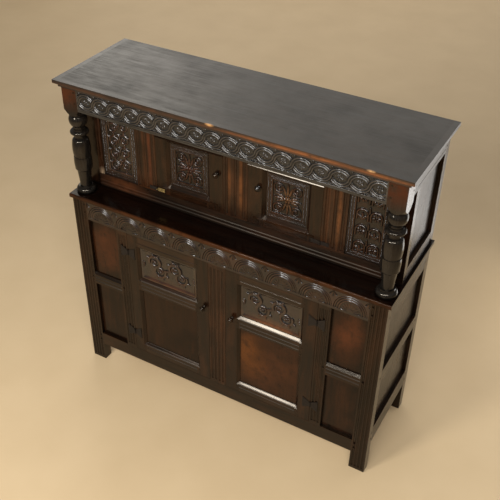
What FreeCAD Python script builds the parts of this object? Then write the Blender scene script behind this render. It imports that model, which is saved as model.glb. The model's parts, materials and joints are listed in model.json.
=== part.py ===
"""Court cupboard of joined oak, as separate pieces that are tenoned, grooved and pegged together.

Lengths are millimetres. X runs along the front, Y from the front to the back, Z upwards.
While the pieces are made, Y is counted from the face of the lower front stiles. The last
step moves everything so that the origin is the middle of the footprint, on the floor.
"""
import FreeCAD, Part
import math
import os

Vector = FreeCAD.Vector

# The carcase as a whole
carcase_width = 1400.0
carcase_depth = 446.0
ledge_height = 920.0
upper_stage_height = 506.0

# Stiles and rails of the frames
stile_width = 68.0
stile_thickness = 41.0
back_stile_width = 56.0
back_stile_thickness = 41.0
rail_thickness = 26.0
side_rail_thickness = 28.0
back_rail_thickness = 26.0
door_thickness = 24.0

# Joints, grooves and pegs
tenon_length = 34.0
short_tenon_length = 18.0
tenon_thickness = 8.0
tenon_setback = 8.0
tenon_shoulder = 7.0
mortise_end_room = 1.0
panel_thickness = 8.0
panel_tongue = 7.0
groove_play = 0.3
peg_radius = 3.6
peg_length = 22.0
peg_proud = 0.8
peg_inset = 11.0
peg_play = 0.03
bevel_arris = 1.5
overrun = 20.0

# Lower front, from the floor up and from the stile inwards
lower_bottom_rail_foot = 98.0
lower_bottom_rail_height = 67.0
lower_top_rail_height = 92.0
ledge_thickness = 16.0
ledge_side_overhang = 11.0
ledge_front_overhang = 7.0
ledge_front_plank_width = 237.0
fixed_opening_width = 144.0
outer_muntin_width = 52.0
centre_muntin_width = 77.0
centre_muntin_shift = -3.5
fixed_mid_rail_foot = 468.0
fixed_mid_rail_height = 59.0
fixed_panel_setback = 14.0
fixed_rail_bevel = 10.0

# Lower doors
door_gap = 1.5
left_hinge_stile_width = 54.0
right_hinge_stile_width = 66.0
lower_lock_stile_width = 65.0
lower_door_bottom_rail_height = 53.0
lower_door_mid_rail_height = 73.0
lower_door_carved_height = 158.0
lower_door_top_rail_height = 60.0
lower_door_bevel = 12.0
lower_knob_rise = 55.5
lower_hinge_rise = 104.0
lower_hinge_drop = 95.0
lower_knob_length = 29.0
lower_left_knob_inset = 22.0
lower_right_knob_inset = 32.0

# Lower sides and back
side_bottom_rail_foot = 155.0
side_bottom_rail_height = 85.0
side_mid_rail_foot = 495.0
side_mid_rail_height = 62.0
side_top_rail_height = 99.0
side_panel_setback = 15.0
back_board_thickness = 8.0
back_mid_rail_foot = 480.0
back_rail_height = 70.0
back_board_count = 7
floor_board_thickness = 12.0
floor_board_tongue = 2.0
floor_board_count = 9

# Canopy and columns
top_board_thickness = 16.0
top_front_plank_width = 236.0
canopy_front = 20.0
canopy_back_overhang = 14.0
top_moulding_width = 22.0
top_moulding_drop = 30.0
frieze_height = 107.0
frieze_thickness = 24.0
corner_block_size = 68.0
corner_block_height = 110.0
canopy_side_rail_height = 88.0

# Recessed upper front
recess_front = 117.0
upper_rail_thickness = 24.0
corner_stile_width = 60.0
corner_stile_thickness = 29.0
corner_stile_setback = 5.0
recess_bottom_rail_height = 58.0
recess_head_rail_height = 135.0
recess_centre_muntin_width = 106.0
recess_outer_muntin_width = 96.0
recess_left_panel_width = 170.0
recess_right_panel_width = 155.0
recess_panel_setback = 6.0
recess_left_end_width = 25.0
recess_right_end_width = 16.0
upper_hinge_stile_width = 60.0
upper_lock_stile_width = 72.0
upper_door_bottom_rail_height = 46.0
upper_door_top_rail_height = 58.0
upper_door_bevel = 13.0
upper_knob_rise = 21.5
upper_left_knob_inset = 26.0
upper_right_knob_inset = 46.0
upper_side_rail_height = 60.0

# Places that follow from the sizes above
half_width = carcase_width / 2
overall_height = ledge_height + upper_stage_height
stile_inside = half_width - stile_width
lower_frame_top = ledge_height - ledge_thickness
lower_opening_foot = lower_bottom_rail_foot + lower_bottom_rail_height
lower_opening_head = lower_frame_top - lower_top_rail_height
outer_muntin_outside = stile_inside - fixed_opening_width
outer_muntin_inside = outer_muntin_outside - outer_muntin_width
centre_muntin = (
    centre_muntin_shift - centre_muntin_width / 2,
    centre_muntin_shift + centre_muntin_width / 2,
)
back_stile_front = carcase_depth - back_stile_thickness
back_stile_inside = half_width - back_stile_width
back_rail_span = (
    carcase_depth - back_board_thickness - back_rail_thickness,
    carcase_depth - back_board_thickness,
)
back_board_span = (carcase_depth - back_board_thickness, carcase_depth)
side_rail_span = (half_width - side_rail_thickness, half_width)
canopy_top = overall_height - top_board_thickness
frieze_foot = canopy_top - frieze_height
canopy_side_rail_foot = canopy_top - canopy_side_rail_height
corner_stile_front = recess_front + corner_stile_setback
corner_stile_back = corner_stile_front + corner_stile_thickness
corner_stile_inside = half_width - corner_stile_width
recess_opening_foot = ledge_height + recess_bottom_rail_height
recess_opening_head = canopy_top - recess_head_rail_height
column_x = half_width - corner_block_size / 2
column_y = canopy_front + corner_block_size / 2
top_back = carcase_depth + canopy_back_overhang
front_reach = max(lower_knob_length, ledge_front_overhang, top_moulding_width - canopy_front)

pieces = {}
cutters = {}


def span_sum(start, length):
    """Span that starts at a place and runs for a length, which may be negative."""
    return (min(start, start + length), max(start, start + length))


def grown(span, by):
    return (span[0] - by, span[1] + by)


def middle(span):
    return (span[0] + span[1]) / 2


def box(x, y, z):
    """Block from three spans."""
    return Part.makeBox(x[1] - x[0], y[1] - y[0], z[1] - z[0], Vector(x[0], y[0], z[0]))


def mirrored(shape):
    return shape.mirror(Vector(0, 0, 0), Vector(1, 0, 0))


def prism(points, direction):
    """Flat outline carried along a direction."""
    wire = Part.makePolygon(points + [points[0]])
    return Part.Face(wire).extrude(direction)


def turning(outline):
    """Solid turned round Z. Each stretch of the outline is (height, radius, bulge) at its end.

    A bulge swells the stretch outwards by that much, and a negative one hollows it.
    """
    previous = Vector(0, 0, outline[0][0])
    edges = []
    for height, radius, bulge in outline + ((outline[-1][0], 0, 0),):
        point = Vector(radius, 0, height)
        chord = point.sub(previous)
        if chord.Length == 0:
            continue
        if bulge:
            outwards = Vector(chord.z, 0, -chord.x).normalize()
            crown = previous + chord * (1 / 2) + outwards * bulge
            edges.append(Part.Arc(previous, crown, point).toShape())
        else:
            edges.append(Part.makeLine(previous, point))
        previous = point
    edges.append(Part.makeLine(previous, Vector(0, 0, outline[0][0])))
    return Part.Face(Part.Wire(edges)).revolve(Vector(0, 0, 0), Vector(0, 0, 1), 360)


def cap_bulge(radius, height):
    """Bulge that makes the last stretch of a turning a cap of a ball."""
    ball = (radius ** 2 + height ** 2) / (2 * height)
    half_chord = math.hypot(radius, height) / 2
    return ball - math.sqrt(ball ** 2 - half_chord ** 2)


def add(node, shape):
    pieces.setdefault(node, []).append(shape)


def cut(nodes, shape):
    """Notes a shape to take away from every solid of the named nodes."""
    for node in nodes:
        cutters.setdefault(node, []).append(shape)


def oriented(run, lengthwise, thick, wide):
    """Block of a member that runs along x, y or z. A y member is thick along x."""
    if run == "x":
        return box(lengthwise, thick, wide)
    if run == "y":
        return box(thick, lengthwise, wide)
    return box(wide, thick, lengthwise)


def peg(run, place, thick, out, across):
    """Riven oak peg through a joint, standing a little proud of the face it enters.

    out is -1 where that face is the low side of the thickness span and 1 where it is the high side.
    """
    face = thick[0] if out < 0 else thick[1]
    length = peg_length + peg_proud
    start = face + out * peg_proud
    if run == "y":
        spot = Vector(start, place, across)
        way = Vector(-out, 0, 0)
    elif run == "x":
        spot = Vector(place, start, across)
        way = Vector(0, -out, 0)
    else:
        spot = Vector(across, start, place)
        way = Vector(0, -out, 0)
    solid = Part.makeCylinder(peg_radius, length, spot, way)
    hole = Part.makeCylinder(peg_radius + peg_play, length, spot, way)
    return solid, hole


def tenon(node, host, run, shoulder, way, thick, wide, out, peg_node, length, pegs):
    """Tenon at a shoulder, its mortise in the host, and the pegs that lock the two."""
    if out < 0:
        cheeks = span_sum(thick[0] + tenon_setback, tenon_thickness)
    else:
        cheeks = span_sum(thick[1] - tenon_setback, -tenon_thickness)
    tongue = grown(wide, -tenon_shoulder)
    cut([host], oriented(run, span_sum(shoulder, way * (length + mortise_end_room)), cheeks, tongue))
    place = shoulder + way * min(peg_inset, length / 2)
    for step in range(pegs):
        across = tongue[0] + (tongue[1] - tongue[0]) * (2 * step + 1) / (2 * pegs)
        solid, hole = peg(run, place, thick, out, across)
        add(peg_node, solid)
        cut([node, host], hole)
    return oriented(run, span_sum(shoulder, way * length), cheeks, tongue)


def member(node, run, span, thick, wide, ends, out=-1, peg_node="frame_pegs", pegs=2):
    """Frame member with a tenon at each end; ends are (host, tenon length) pairs, or None."""
    shape = oriented(run, span, thick, wide)
    for end, way, shoulder in ((ends[0], -1, span[0]), (ends[1], 1, span[1])):
        if end:
            host, length = end
            extra = tenon(node, host, run, shoulder, way, thick, wide, out, peg_node, length, pegs)
            shape = shape.fuse(extra)
    add(node, shape.removeSplitter())


def front_panel(node, x, z, face, hosts, thickness=panel_thickness):
    """Panel of a front frame, held by tongues in the grooves of its hosts."""
    y = span_sum(face, thickness)
    board_x = grown(x, panel_tongue)
    board_z = grown(z, panel_tongue)
    add(node, box(board_x, y, board_z))
    groove = box(
        grown(board_x, groove_play),
        (y[0], y[1] + groove_play),
        (board_z[0], board_z[1] + groove_play),
    )
    cut(hosts, groove)


def side_panel(node, y, z, hosts):
    """Pair of side panels, each held by tongues in the grooves of its hosts."""
    x = span_sum(half_width - side_panel_setback, -panel_thickness)
    board_y = grown(y, panel_tongue)
    board_z = grown(z, panel_tongue)
    groove = box(
        (x[0] - groove_play, x[1]),
        grown(board_y, groove_play),
        (board_z[0], board_z[1] + groove_play),
    )
    board = box(x, board_y, board_z)
    for shape in (board, mirrored(board)):
        add(node, shape)
    cut(hosts, groove)
    cut(hosts, mirrored(groove))


def bevel_all_round(nodes, x, z, face, size):
    """Sloping edge run round a panel opening, mitred at the corners, above a narrow arris."""
    reach = size + overrun
    depth = size - bevel_arris

    def corners(span_x, span_z, y):
        return [
            Vector(span_x[0], y, span_z[0]),
            Vector(span_x[1], y, span_z[0]),
            Vector(span_x[1], y, span_z[1]),
            Vector(span_x[0], y, span_z[1]),
        ]

    lead = overrun * depth / size
    near = corners(grown(x, reach), grown(z, reach), face - lead)
    far = corners(x, z, face + depth)
    sides = [near, far]
    for i in range(len(near)):
        j = (i + 1) % len(near)
        sides.append([near[i], near[j], far[j], far[i]])
    faces = [Part.Face(Part.makePolygon(side + [side[0]])) for side in sides]
    cut(nodes, Part.makeSolid(Part.makeShell(faces)))


def bevel_top_edge(node, x, face, top, size):
    """Sloping top edge along one rail, square ended."""
    points = [
        Vector(x[0], face - overrun, top - size - overrun),
        Vector(x[0], face - overrun, top + overrun),
        Vector(x[0], face + size + overrun, top + overrun),
    ]
    cut([node], prism(points, Vector(x[1] - x[0], 0, 0)))


reed_radius = 5.5
reed_depth = 3.0
reed_foot_margin = 16.0


def reeds(node, places, face, z, radius=reed_radius, depth=reed_depth):
    """Hollow channels worked down the face of an upright."""
    for x in places:
        spot = Vector(x, face - radius + depth, z[0])
        cut([node], Part.makeCylinder(radius, z[1] - z[0], spot, Vector(0, 0, 1)))


def evenly(span, count, margin):
    """Places spread evenly over a span, inside a margin."""
    start = span[0] + margin
    step = (span[1] - span[0] - 2 * margin) / (count - 1)
    return [start + step * i for i in range(count)]


def line_groove(nodes, x, z, face, size):
    """Scratched V groove along a rail, at one height."""
    points = [
        Vector(x[0], face - size, z - 2 * size),
        Vector(x[0], face - size, z + 2 * size),
        Vector(x[0], face + size, z),
    ]
    cut(nodes, prism(points, Vector(x[1] - x[0], 0, 0)))


# Carved ornament is sunk this far into the oak
carving_depth = 3.0


def ring_cut(nodes, x, z, face, outer, inner, start, turn):
    """Part of a ring sunk into a face; angles in degrees from the right, turning upwards."""
    origin = Vector(0, 0, 0)
    foot = Vector(0, 0, -carving_depth)
    up = Vector(0, 0, 1)
    ring = Part.makeCylinder(outer, 2 * carving_depth, foot, up, turn)
    ring = ring.cut(Part.makeCylinder(inner, 2 * carving_depth, foot))
    ring.rotate(origin, up, start)
    ring.rotate(origin, Vector(1, 0, 0), 90)
    ring.translate(Vector(x, face, z))
    cut(nodes, ring)


def flute_cut(nodes, x, z, face, angle, near, far, width):
    """Gouged flute that radiates from a centre, wider at its far end."""
    narrow = width / 2
    points = []
    for along, half in ((near, narrow / 2), (far, width / 2), (far, -width / 2), (near, -narrow / 2)):
        turn = math.radians(angle)
        points.append(Vector(
            x + along * math.cos(turn) - half * math.sin(turn),
            face,
            z + along * math.sin(turn) + half * math.cos(turn),
        ))
    cut(nodes, prism(points, Vector(0, carving_depth, 0)))


def leaf_cut(nodes, x, z, face, angle, near, far, width):
    """Pointed leaf, sunk as a lozenge that runs out from a centre."""
    turn = math.radians(angle)
    points = []
    for along, half in ((near, 0), ((near + far) / 2, width / 2), (far, 0), ((near + far) / 2, -width / 2)):
        points.append(Vector(
            x + along * math.cos(turn) - half * math.sin(turn),
            face,
            z + along * math.sin(turn) + half * math.cos(turn),
        ))
    cut(nodes, prism(points, Vector(0, carving_depth, 0)))


def rosette_cut(nodes, x, z, face, petals, near, far, width, start=0):
    """Leaves spaced evenly round a centre."""
    for i in range(petals):
        leaf_cut(nodes, x, z, face, start + 360 * i / petals, near, far, width)


def lower_front_frame():
    """Front of the lower stage: stiles that run down as feet, rails, muntins and fixed panels."""
    stile_reed_count = 4
    stile_reed_margin = 12.0
    muntin_reed_count = 3
    muntin_reed_margin = 12.0
    centre_reed_count = 4
    mid_rail_line_shares = (0.28, 0.6)
    line_size = 2.2
    rail_thick = (0, rail_thickness)
    muntin_thick = (0, door_thickness)

    for node, side in (("lower_front_stile_left", -1), ("lower_front_stile_right", 1)):
        x = span_sum(side * half_width, -side * stile_width)
        add(node, box(x, (0, stile_thickness), (0, lower_frame_top)))
        places = evenly(x, stile_reed_count, stile_reed_margin)
        reeds(node, places, 0, (reed_foot_margin, lower_frame_top + overrun))

    to_stiles = (("lower_front_stile_left", tenon_length), ("lower_front_stile_right", tenon_length))
    inside = (-stile_inside, stile_inside)
    member("lower_carved_top_rail", "x", inside, rail_thick, (lower_opening_head, lower_frame_top),
           to_stiles)
    member("lower_bottom_rail", "x", inside, rail_thick, (lower_bottom_rail_foot, lower_opening_foot),
           to_stiles)

    opening = (lower_opening_foot, lower_opening_head)
    to_rails = (("lower_bottom_rail", tenon_length), ("lower_carved_top_rail", tenon_length))
    for side in (-1, 1):
        x = span_sum(side * outer_muntin_outside, -side * outer_muntin_width)
        member("lower_outer_muntins", "z", opening, muntin_thick, x, to_rails, pegs=1)
        reeds("lower_outer_muntins", evenly(x, muntin_reed_count, muntin_reed_margin), 0,
              grown(opening, -reed_foot_margin))
    member("lower_centre_muntin", "z", opening, muntin_thick, centre_muntin, to_rails, pegs=1)
    reeds("lower_centre_muntin", evenly(centre_muntin, centre_reed_count, muntin_reed_margin), 0,
          grown(opening, -reed_foot_margin))

    mid_rail = span_sum(fixed_mid_rail_foot, fixed_mid_rail_height)
    for side, stile in ((-1, "lower_front_stile_left"), (1, "lower_front_stile_right")):
        x = span_sum(side * stile_inside, -side * fixed_opening_width)
        ends = [(stile, tenon_length), ("lower_outer_muntins", short_tenon_length)]
        if side > 0:
            ends.reverse()
        member("lower_fixed_mid_rails", "x", x, muntin_thick, mid_rail, ends, pegs=1)
        bevel_top_edge("lower_fixed_mid_rails", x, 0, mid_rail[1], fixed_rail_bevel)
        for share in mid_rail_line_shares:
            height = mid_rail[0] + share * fixed_mid_rail_height
            line_groove(["lower_fixed_mid_rails"], x, height, 0, line_size)
        for z, rail in (
            ((opening[0], mid_rail[0]), "lower_bottom_rail"),
            ((mid_rail[1], opening[1]), "lower_carved_top_rail"),
        ):
            hosts = [stile, "lower_outer_muntins", "lower_fixed_mid_rails", rail]
            front_panel("lower_fixed_panels", x, z, fixed_panel_setback, hosts)


def lunette_carving():
    """Row of fluted fans under double arches along the lower top rail."""
    node = "lower_carved_top_rail"
    count = 9
    flute_count = 7
    foot_margin = 8.0
    arch_gap = 4.0
    arch_line = 3.2
    hub_radius = 9.0
    flute_width = 9.0
    first_flute_angle = 15.0
    pitch = 2 * stile_inside / count
    foot = lower_opening_head + foot_margin
    outer = min(pitch / 2 - arch_gap / 2, lower_frame_top - foot - arch_gap)
    fan = outer - 2 * arch_gap - 2 * arch_line
    for i in range(count):
        x = -stile_inside + pitch * (i + 1 / 2)
        ring_cut([node], x, foot, 0, outer, outer - arch_line, 0, 180)
        ring_cut([node], x, foot, 0, fan + 2 * arch_line, fan + arch_line, 0, 180)
        for j in range(flute_count):
            angle = first_flute_angle + (180 - 2 * first_flute_angle) * j / (flute_count - 1)
            flute_cut([node], x, foot, 0, angle, hub_radius, fan, flute_width)


def lower_sides_and_back():
    """Side frames with their panels, the back stiles, rails and boards, and the floor."""
    side_peg_thick = side_rail_span
    stile_shelf = (stile_thickness, back_stile_front)
    back_stile_y = (back_stile_front, carcase_depth)
    for side in (-1, 1):
        x = span_sum(side * half_width, -side * back_stile_width)
        add("back_stiles", box(x, back_stile_y, (0, lower_frame_top)))
        add("back_stiles", box(x, back_stile_y, (ledge_height, canopy_top)))

    bottom = span_sum(side_bottom_rail_foot, side_bottom_rail_height)
    mid = span_sum(side_mid_rail_foot, side_mid_rail_height)
    top = (lower_frame_top - side_top_rail_height, lower_frame_top)
    for side, stile in ((-1, "lower_front_stile_left"), (1, "lower_front_stile_right")):
        thick = side_peg_thick if side > 0 else (-side_peg_thick[1], -side_peg_thick[0])
        ends = ((stile, short_tenon_length), ("back_stiles", tenon_length))
        for z, pegs in ((bottom, 2), (mid, 1), (top, 2)):
            member("lower_side_rails", "y", stile_shelf, thick, z, ends, out=side, pegs=pegs)
    hosts = ["lower_front_stile_left", "lower_front_stile_right", "back_stiles", "lower_side_rails"]
    side_panel("lower_side_panels", stile_shelf, (bottom[1], mid[0]), hosts)
    side_panel("lower_side_panels", stile_shelf, (mid[1], top[0]), hosts)

    inside = (-back_stile_inside, back_stile_inside)
    ends = (("back_stiles", tenon_length), ("back_stiles", tenon_length))
    heights = (
        (lower_bottom_rail_foot, lower_opening_foot),
        span_sum(back_mid_rail_foot, back_rail_height),
        (lower_frame_top - back_rail_height, lower_frame_top),
        span_sum(ledge_height, back_rail_height),
        (canopy_top - back_rail_height, canopy_top),
    )
    for z in heights:
        member("back_rails", "x", inside, back_rail_span, z, ends, out=1, pegs=0)
    board_width = (inside[1] - inside[0]) / back_board_count
    for z in ((lower_bottom_rail_foot, lower_frame_top), (ledge_height, canopy_top)):
        for i in range(back_board_count):
            x = span_sum(inside[0] + board_width * i, board_width)
            add("back_boards", box(x, back_board_span, z))

    floor = (lower_opening_foot - floor_board_thickness, lower_opening_foot)
    floor_y = (rail_thickness - floor_board_tongue, back_rail_span[0] + floor_board_tongue)
    floor_x = grown((-side_rail_span[0], side_rail_span[0]), -groove_play)
    board_width = (floor_x[1] - floor_x[0]) / floor_board_count
    stiles = []
    for side in (-1, 1):
        front_x = span_sum(side * half_width, -side * stile_width)
        back_x = span_sum(side * half_width, -side * back_stile_width)
        stiles.append(box(grown(front_x, groove_play), (-overrun, stile_thickness + groove_play),
                          (0, ledge_height)))
        stiles.append(box(grown(back_x, groove_play), (back_stile_front - groove_play, carcase_depth),
                          (0, ledge_height)))
    for i in range(floor_board_count):
        x = span_sum(floor_x[0] + board_width * i, board_width)
        board = box(x, floor_y, floor)
        add("floor_boards", board)
    cut(["floor_boards"], Part.makeCompound(stiles))
    groove_x = (-stile_inside - groove_play, stile_inside + groove_play)
    cut(["lower_bottom_rail"], box(groove_x, (floor_y[0], rail_thickness + overrun),
                                   (floor[0], floor[1] + groove_play)))
    cut(["back_rails"], box(grown(inside, groove_play), (back_rail_span[0] - overrun, floor_y[1]),
                            (floor[0], floor[1] + groove_play)))


def ledge():
    """Board that closes the lower stage and carries the upper one."""
    x = grown((-half_width, half_width), ledge_side_overhang)
    z = (lower_frame_top, ledge_height)
    joint = -ledge_front_overhang + ledge_front_plank_width
    nosing_radius = 5.0
    front = box(x, (-ledge_front_overhang, joint), z)
    edge = [e for e in front.Edges
            if abs(e.CenterOfMass.y + ledge_front_overhang) < groove_play
            and abs(e.CenterOfMass.z - ledge_height) < groove_play]
    add("ledge_boards", front.makeFillet(nosing_radius, edge))
    add("ledge_boards", box(x, (joint, carcase_depth), z))


def canopy():
    """Top boards, the moulding round their edge, the carved frieze and the side rails."""
    board_z = (canopy_top, overall_height)
    board_x = (-half_width, half_width)
    joint = canopy_front + top_front_plank_width
    add("top_boards", box(board_x, (canopy_front, joint), board_z))
    add("top_boards", box(board_x, (joint, top_back), board_z))

    frieze_y = span_sum(canopy_front, frieze_thickness)
    ends = (("column_left", tenon_length), ("column_right", tenon_length))
    member("carved_frieze", "x", (-stile_inside, stile_inside), frieze_y,
           (frieze_foot, canopy_top), ends)

    rail_y = (canopy_front + corner_block_size, back_stile_front)
    rail_z = (canopy_side_rail_foot, canopy_top)
    line_size = 2.5
    line_drop = 18.0
    for side, column in ((-1, "column_left"), (1, "column_right")):
        thick = side_rail_span if side > 0 else (-side_rail_span[1], -side_rail_span[0])
        ends = ((column, tenon_length / 2), ("back_stiles", tenon_length))
        member("canopy_side_rails", "y", rail_y, thick, rail_z, ends, out=side)
        z = rail_z[0] + line_drop
        x = side * half_width
        points = [
            Vector(x + side * line_size, corner_stile_front, z - line_size),
            Vector(x + side * line_size, corner_stile_front, z + line_size),
            Vector(x - side * line_size, corner_stile_front, z),
        ]
        cut(["canopy_side_rails"], prism(points, Vector(0, back_stile_front - corner_stile_front, 0)))


def moulding_profile():
    """Points of the edge moulding as (distance out, height), from the foot up; the second curve is round."""
    foot_share = 0.36
    shelf_share = 0.53
    lip_share = 0.2
    foot = overall_height - top_moulding_drop
    shelf = overall_height - top_moulding_drop * (1 - shelf_share)
    inner = top_moulding_width * foot_share
    outer = top_moulding_width * (1 - lip_share)
    bend = math.sqrt(1 / 2)
    crown = (outer - (outer - inner) * bend, foot + (shelf - foot) * bend)
    return {
        "foot": (0, foot),
        "arc": ((inner, foot), crown, (outer, shelf)),
        "lip": (top_moulding_width, shelf),
        "top": (top_moulding_width, overall_height),
        "inside": (0, overall_height),
    }


def moulding_face(place):
    """Face of the moulding's profile, with each (distance out, height) put where place says."""
    profile = moulding_profile()
    low, crown, high = [place(out, z) for out, z in profile["arc"]]
    lip, top, inside, foot = [place(*profile[name]) for name in ("lip", "top", "inside", "foot")]
    corners = [high, lip, top, inside, foot, low]
    edges = [Part.Arc(low, crown, high).toShape()]
    edges += [Part.makeLine(start, end) for start, end in zip(corners, corners[1:])]
    return Part.Face(Part.Wire(edges))


def top_edge_moulding():
    """Three lengths of moulding, mitred at the front corners and flush with the top."""
    reach = half_width + top_moulding_width + overrun
    front = moulding_face(lambda out, z: Vector(-reach, canopy_front - out, z))
    front = front.extrude(Vector(2 * reach, 0, 0))
    side_start = canopy_front - top_moulding_width - overrun
    side = moulding_face(lambda out, z: Vector(half_width + out, side_start, z))
    side = side.extrude(Vector(0, top_back - side_start, 0))
    size = top_moulding_width + 2 * overrun
    low = overall_height - top_moulding_drop - overrun
    tall = Vector(0, 0, top_moulding_drop + 2 * overrun)
    corner = Vector(half_width, canopy_front, low)
    past_mitre = prism([
        corner,
        corner + Vector(size, -size, 0),
        corner + Vector(size, 0, 0),
    ], tall)
    before_mitre = prism([
        corner,
        corner + Vector(size, -size, 0),
        corner + Vector(0, -size, 0),
    ], tall)
    front = front.cut(past_mitre)
    front = front.cut(mirrored(past_mitre))
    side = side.cut(before_mitre)
    add("top_edge_moulding", front)
    add("top_edge_moulding", side)
    add("top_edge_moulding", mirrored(side))


def frieze_carving():
    """Row of double lunettes, each over a rosette of leaves, along the frieze."""
    node = "carved_frieze"
    count = 18
    petals = 8
    outer_share = 0.47
    line_share = 0.06
    spring_share = 0.42
    near_share = 0.08
    far_share = 0.28
    width_share = 0.08
    pitch = 2 * stile_inside / count
    spring = frieze_foot + frieze_height * spring_share
    outer = pitch * outer_share
    line = pitch * line_share
    for i in range(count):
        x = -stile_inside + pitch * (i + 1 / 2)
        ring_cut([node], x, spring, canopy_front, outer, outer - line, 0, 180)
        ring_cut([node], x, spring, canopy_front, outer - 2 * line, outer - 3 * line, 0, 180)
        rosette_cut([node], x, spring, canopy_front, petals, pitch * near_share, pitch * far_share,
                    pitch * width_share)


def column_outline(height, radius):
    """Turned part of a column, as stretches for the given turned height and half the block's width.

    Each row of shares is the height and radius at the end of a stretch, and its bulge.
    """
    base_shares = ((0, 1.06, 0), (0.067, 0.9, 0.19), (0.084, 0.85, 0))
    shaft_shares = ((0.084, 0.71, 0), (0.292, 0.87, -0.03))
    ring_shares = ((0.295, 0.93, 0), (0.326, 1.04, 0.045))
    lower_barrel_shares = ((0.466, 1.04, 0.047), (0.47, 0.97, 0), (0.485, 0.97, 0), (0.489, 1.04, 0))
    upper_barrel_shares = ((0.663, 1.0, 0.076), (0.702, 0.65, 0.094), (0.736, 0.63, -0.02))
    disc_shares = ((0.736, 0.78, 0), (0.75, 0.81, 0), (0.753, 0.87, 0), (0.803, 0.87, 0.25))
    neck_shares = ((0.809, 0.79, 0), (0.82, 0.79, 0), (0.823, 0.66, 0), (0.846, 0.66, -0.018))
    ball_shares = ((0.983, 0.956, 0.265), (0.989, 0.9, 0), (1, 0.97, 0))
    rows = (base_shares + shaft_shares + ring_shares + lower_barrel_shares + upper_barrel_shares
            + disc_shares + neck_shares + ball_shares)
    return tuple((height * up, radius * out, radius * bulge) for up, out, bulge in rows)


def columns():
    """Columns at the front corners: a square post above a long turning, and a dowel below."""
    dowel_radius = 12.0
    dowel_length = 11.0
    pommel_height = 26.0
    half = corner_block_size / 2
    block_foot = canopy_top - corner_block_height
    pommel_foot = block_foot - pommel_height
    outline = column_outline(pommel_foot - ledge_height, half)
    turned = turning(outline)
    turned.translate(Vector(0, 0, ledge_height))
    square = box((-half, half), (-half, half), (pommel_foot, canopy_top))
    cone = Part.makeCone(outline[-1][1], half * math.sqrt(2), pommel_height, Vector(0, 0, pommel_foot))
    pommel = cone.common(square)
    block = box((-half, half), (-half, half), (block_foot, canopy_top))
    dowel = Part.makeCylinder(dowel_radius, dowel_length, Vector(0, 0, ledge_height - dowel_length))
    column = turned.fuse([dowel, pommel, block]).removeSplitter()
    hole = Part.makeCylinder(dowel_radius, dowel_length + overrun,
                             Vector(0, 0, ledge_height - dowel_length))
    for node, side in (("column_left", -1), ("column_right", 1)):
        spot = Vector(side * column_x, column_y, 0)
        add(node, column.translated(spot))
        cut(["ledge_boards"], hole.translated(spot))


def upper_sides():
    """Corner stiles and side frames of the upper stage, under the canopy's side rails."""
    bottom = span_sum(ledge_height, upper_side_rail_height)
    shelf = (corner_stile_back, back_stile_front)
    corner_y = (corner_stile_front, corner_stile_back)
    for side in (-1, 1):
        x = span_sum(side * half_width, -side * corner_stile_width)
        thick = side_rail_span if side > 0 else (-side_rail_span[1], -side_rail_span[0])
        stile = box(x, corner_y, (ledge_height, canopy_top))
        notch = box(thick, grown(corner_y, overrun), (canopy_side_rail_foot, canopy_top + overrun))
        add("upper_front_stiles", stile.cut(notch))
        ends = (("upper_front_stiles", short_tenon_length / 2), ("back_stiles", tenon_length))
        member("upper_side_bottom_rails", "y", shelf, thick, bottom, ends, out=side, pegs=0)
    hosts = ["upper_front_stiles", "back_stiles", "upper_side_bottom_rails", "canopy_side_rails"]
    side_panel("upper_side_panels", shelf, (bottom[1], canopy_side_rail_foot), hosts)


def recess_places():
    """Spans along X of the recessed front's uprights, doors and fixed panels."""
    left_end = span_sum(-corner_stile_inside, recess_left_end_width)
    right_end = span_sum(corner_stile_inside, -recess_right_end_width)
    left_panel = span_sum(left_end[1], recess_left_panel_width)
    right_panel = span_sum(right_end[0], -recess_right_panel_width)
    left_muntin = span_sum(left_panel[1], recess_outer_muntin_width)
    right_muntin = span_sum(right_panel[0], -recess_outer_muntin_width)
    doors = (left_muntin[1], right_muntin[0])
    centre = grown((middle(doors),) * 2, recess_centre_muntin_width / 2)
    return {
        "left_end": left_end,
        "left_panel": left_panel,
        "left_muntin": left_muntin,
        "left_door": (doors[0], centre[0]),
        "centre": centre,
        "right_door": (centre[1], doors[1]),
        "right_muntin": right_muntin,
        "right_panel": right_panel,
        "right_end": right_end,
    }


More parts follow.
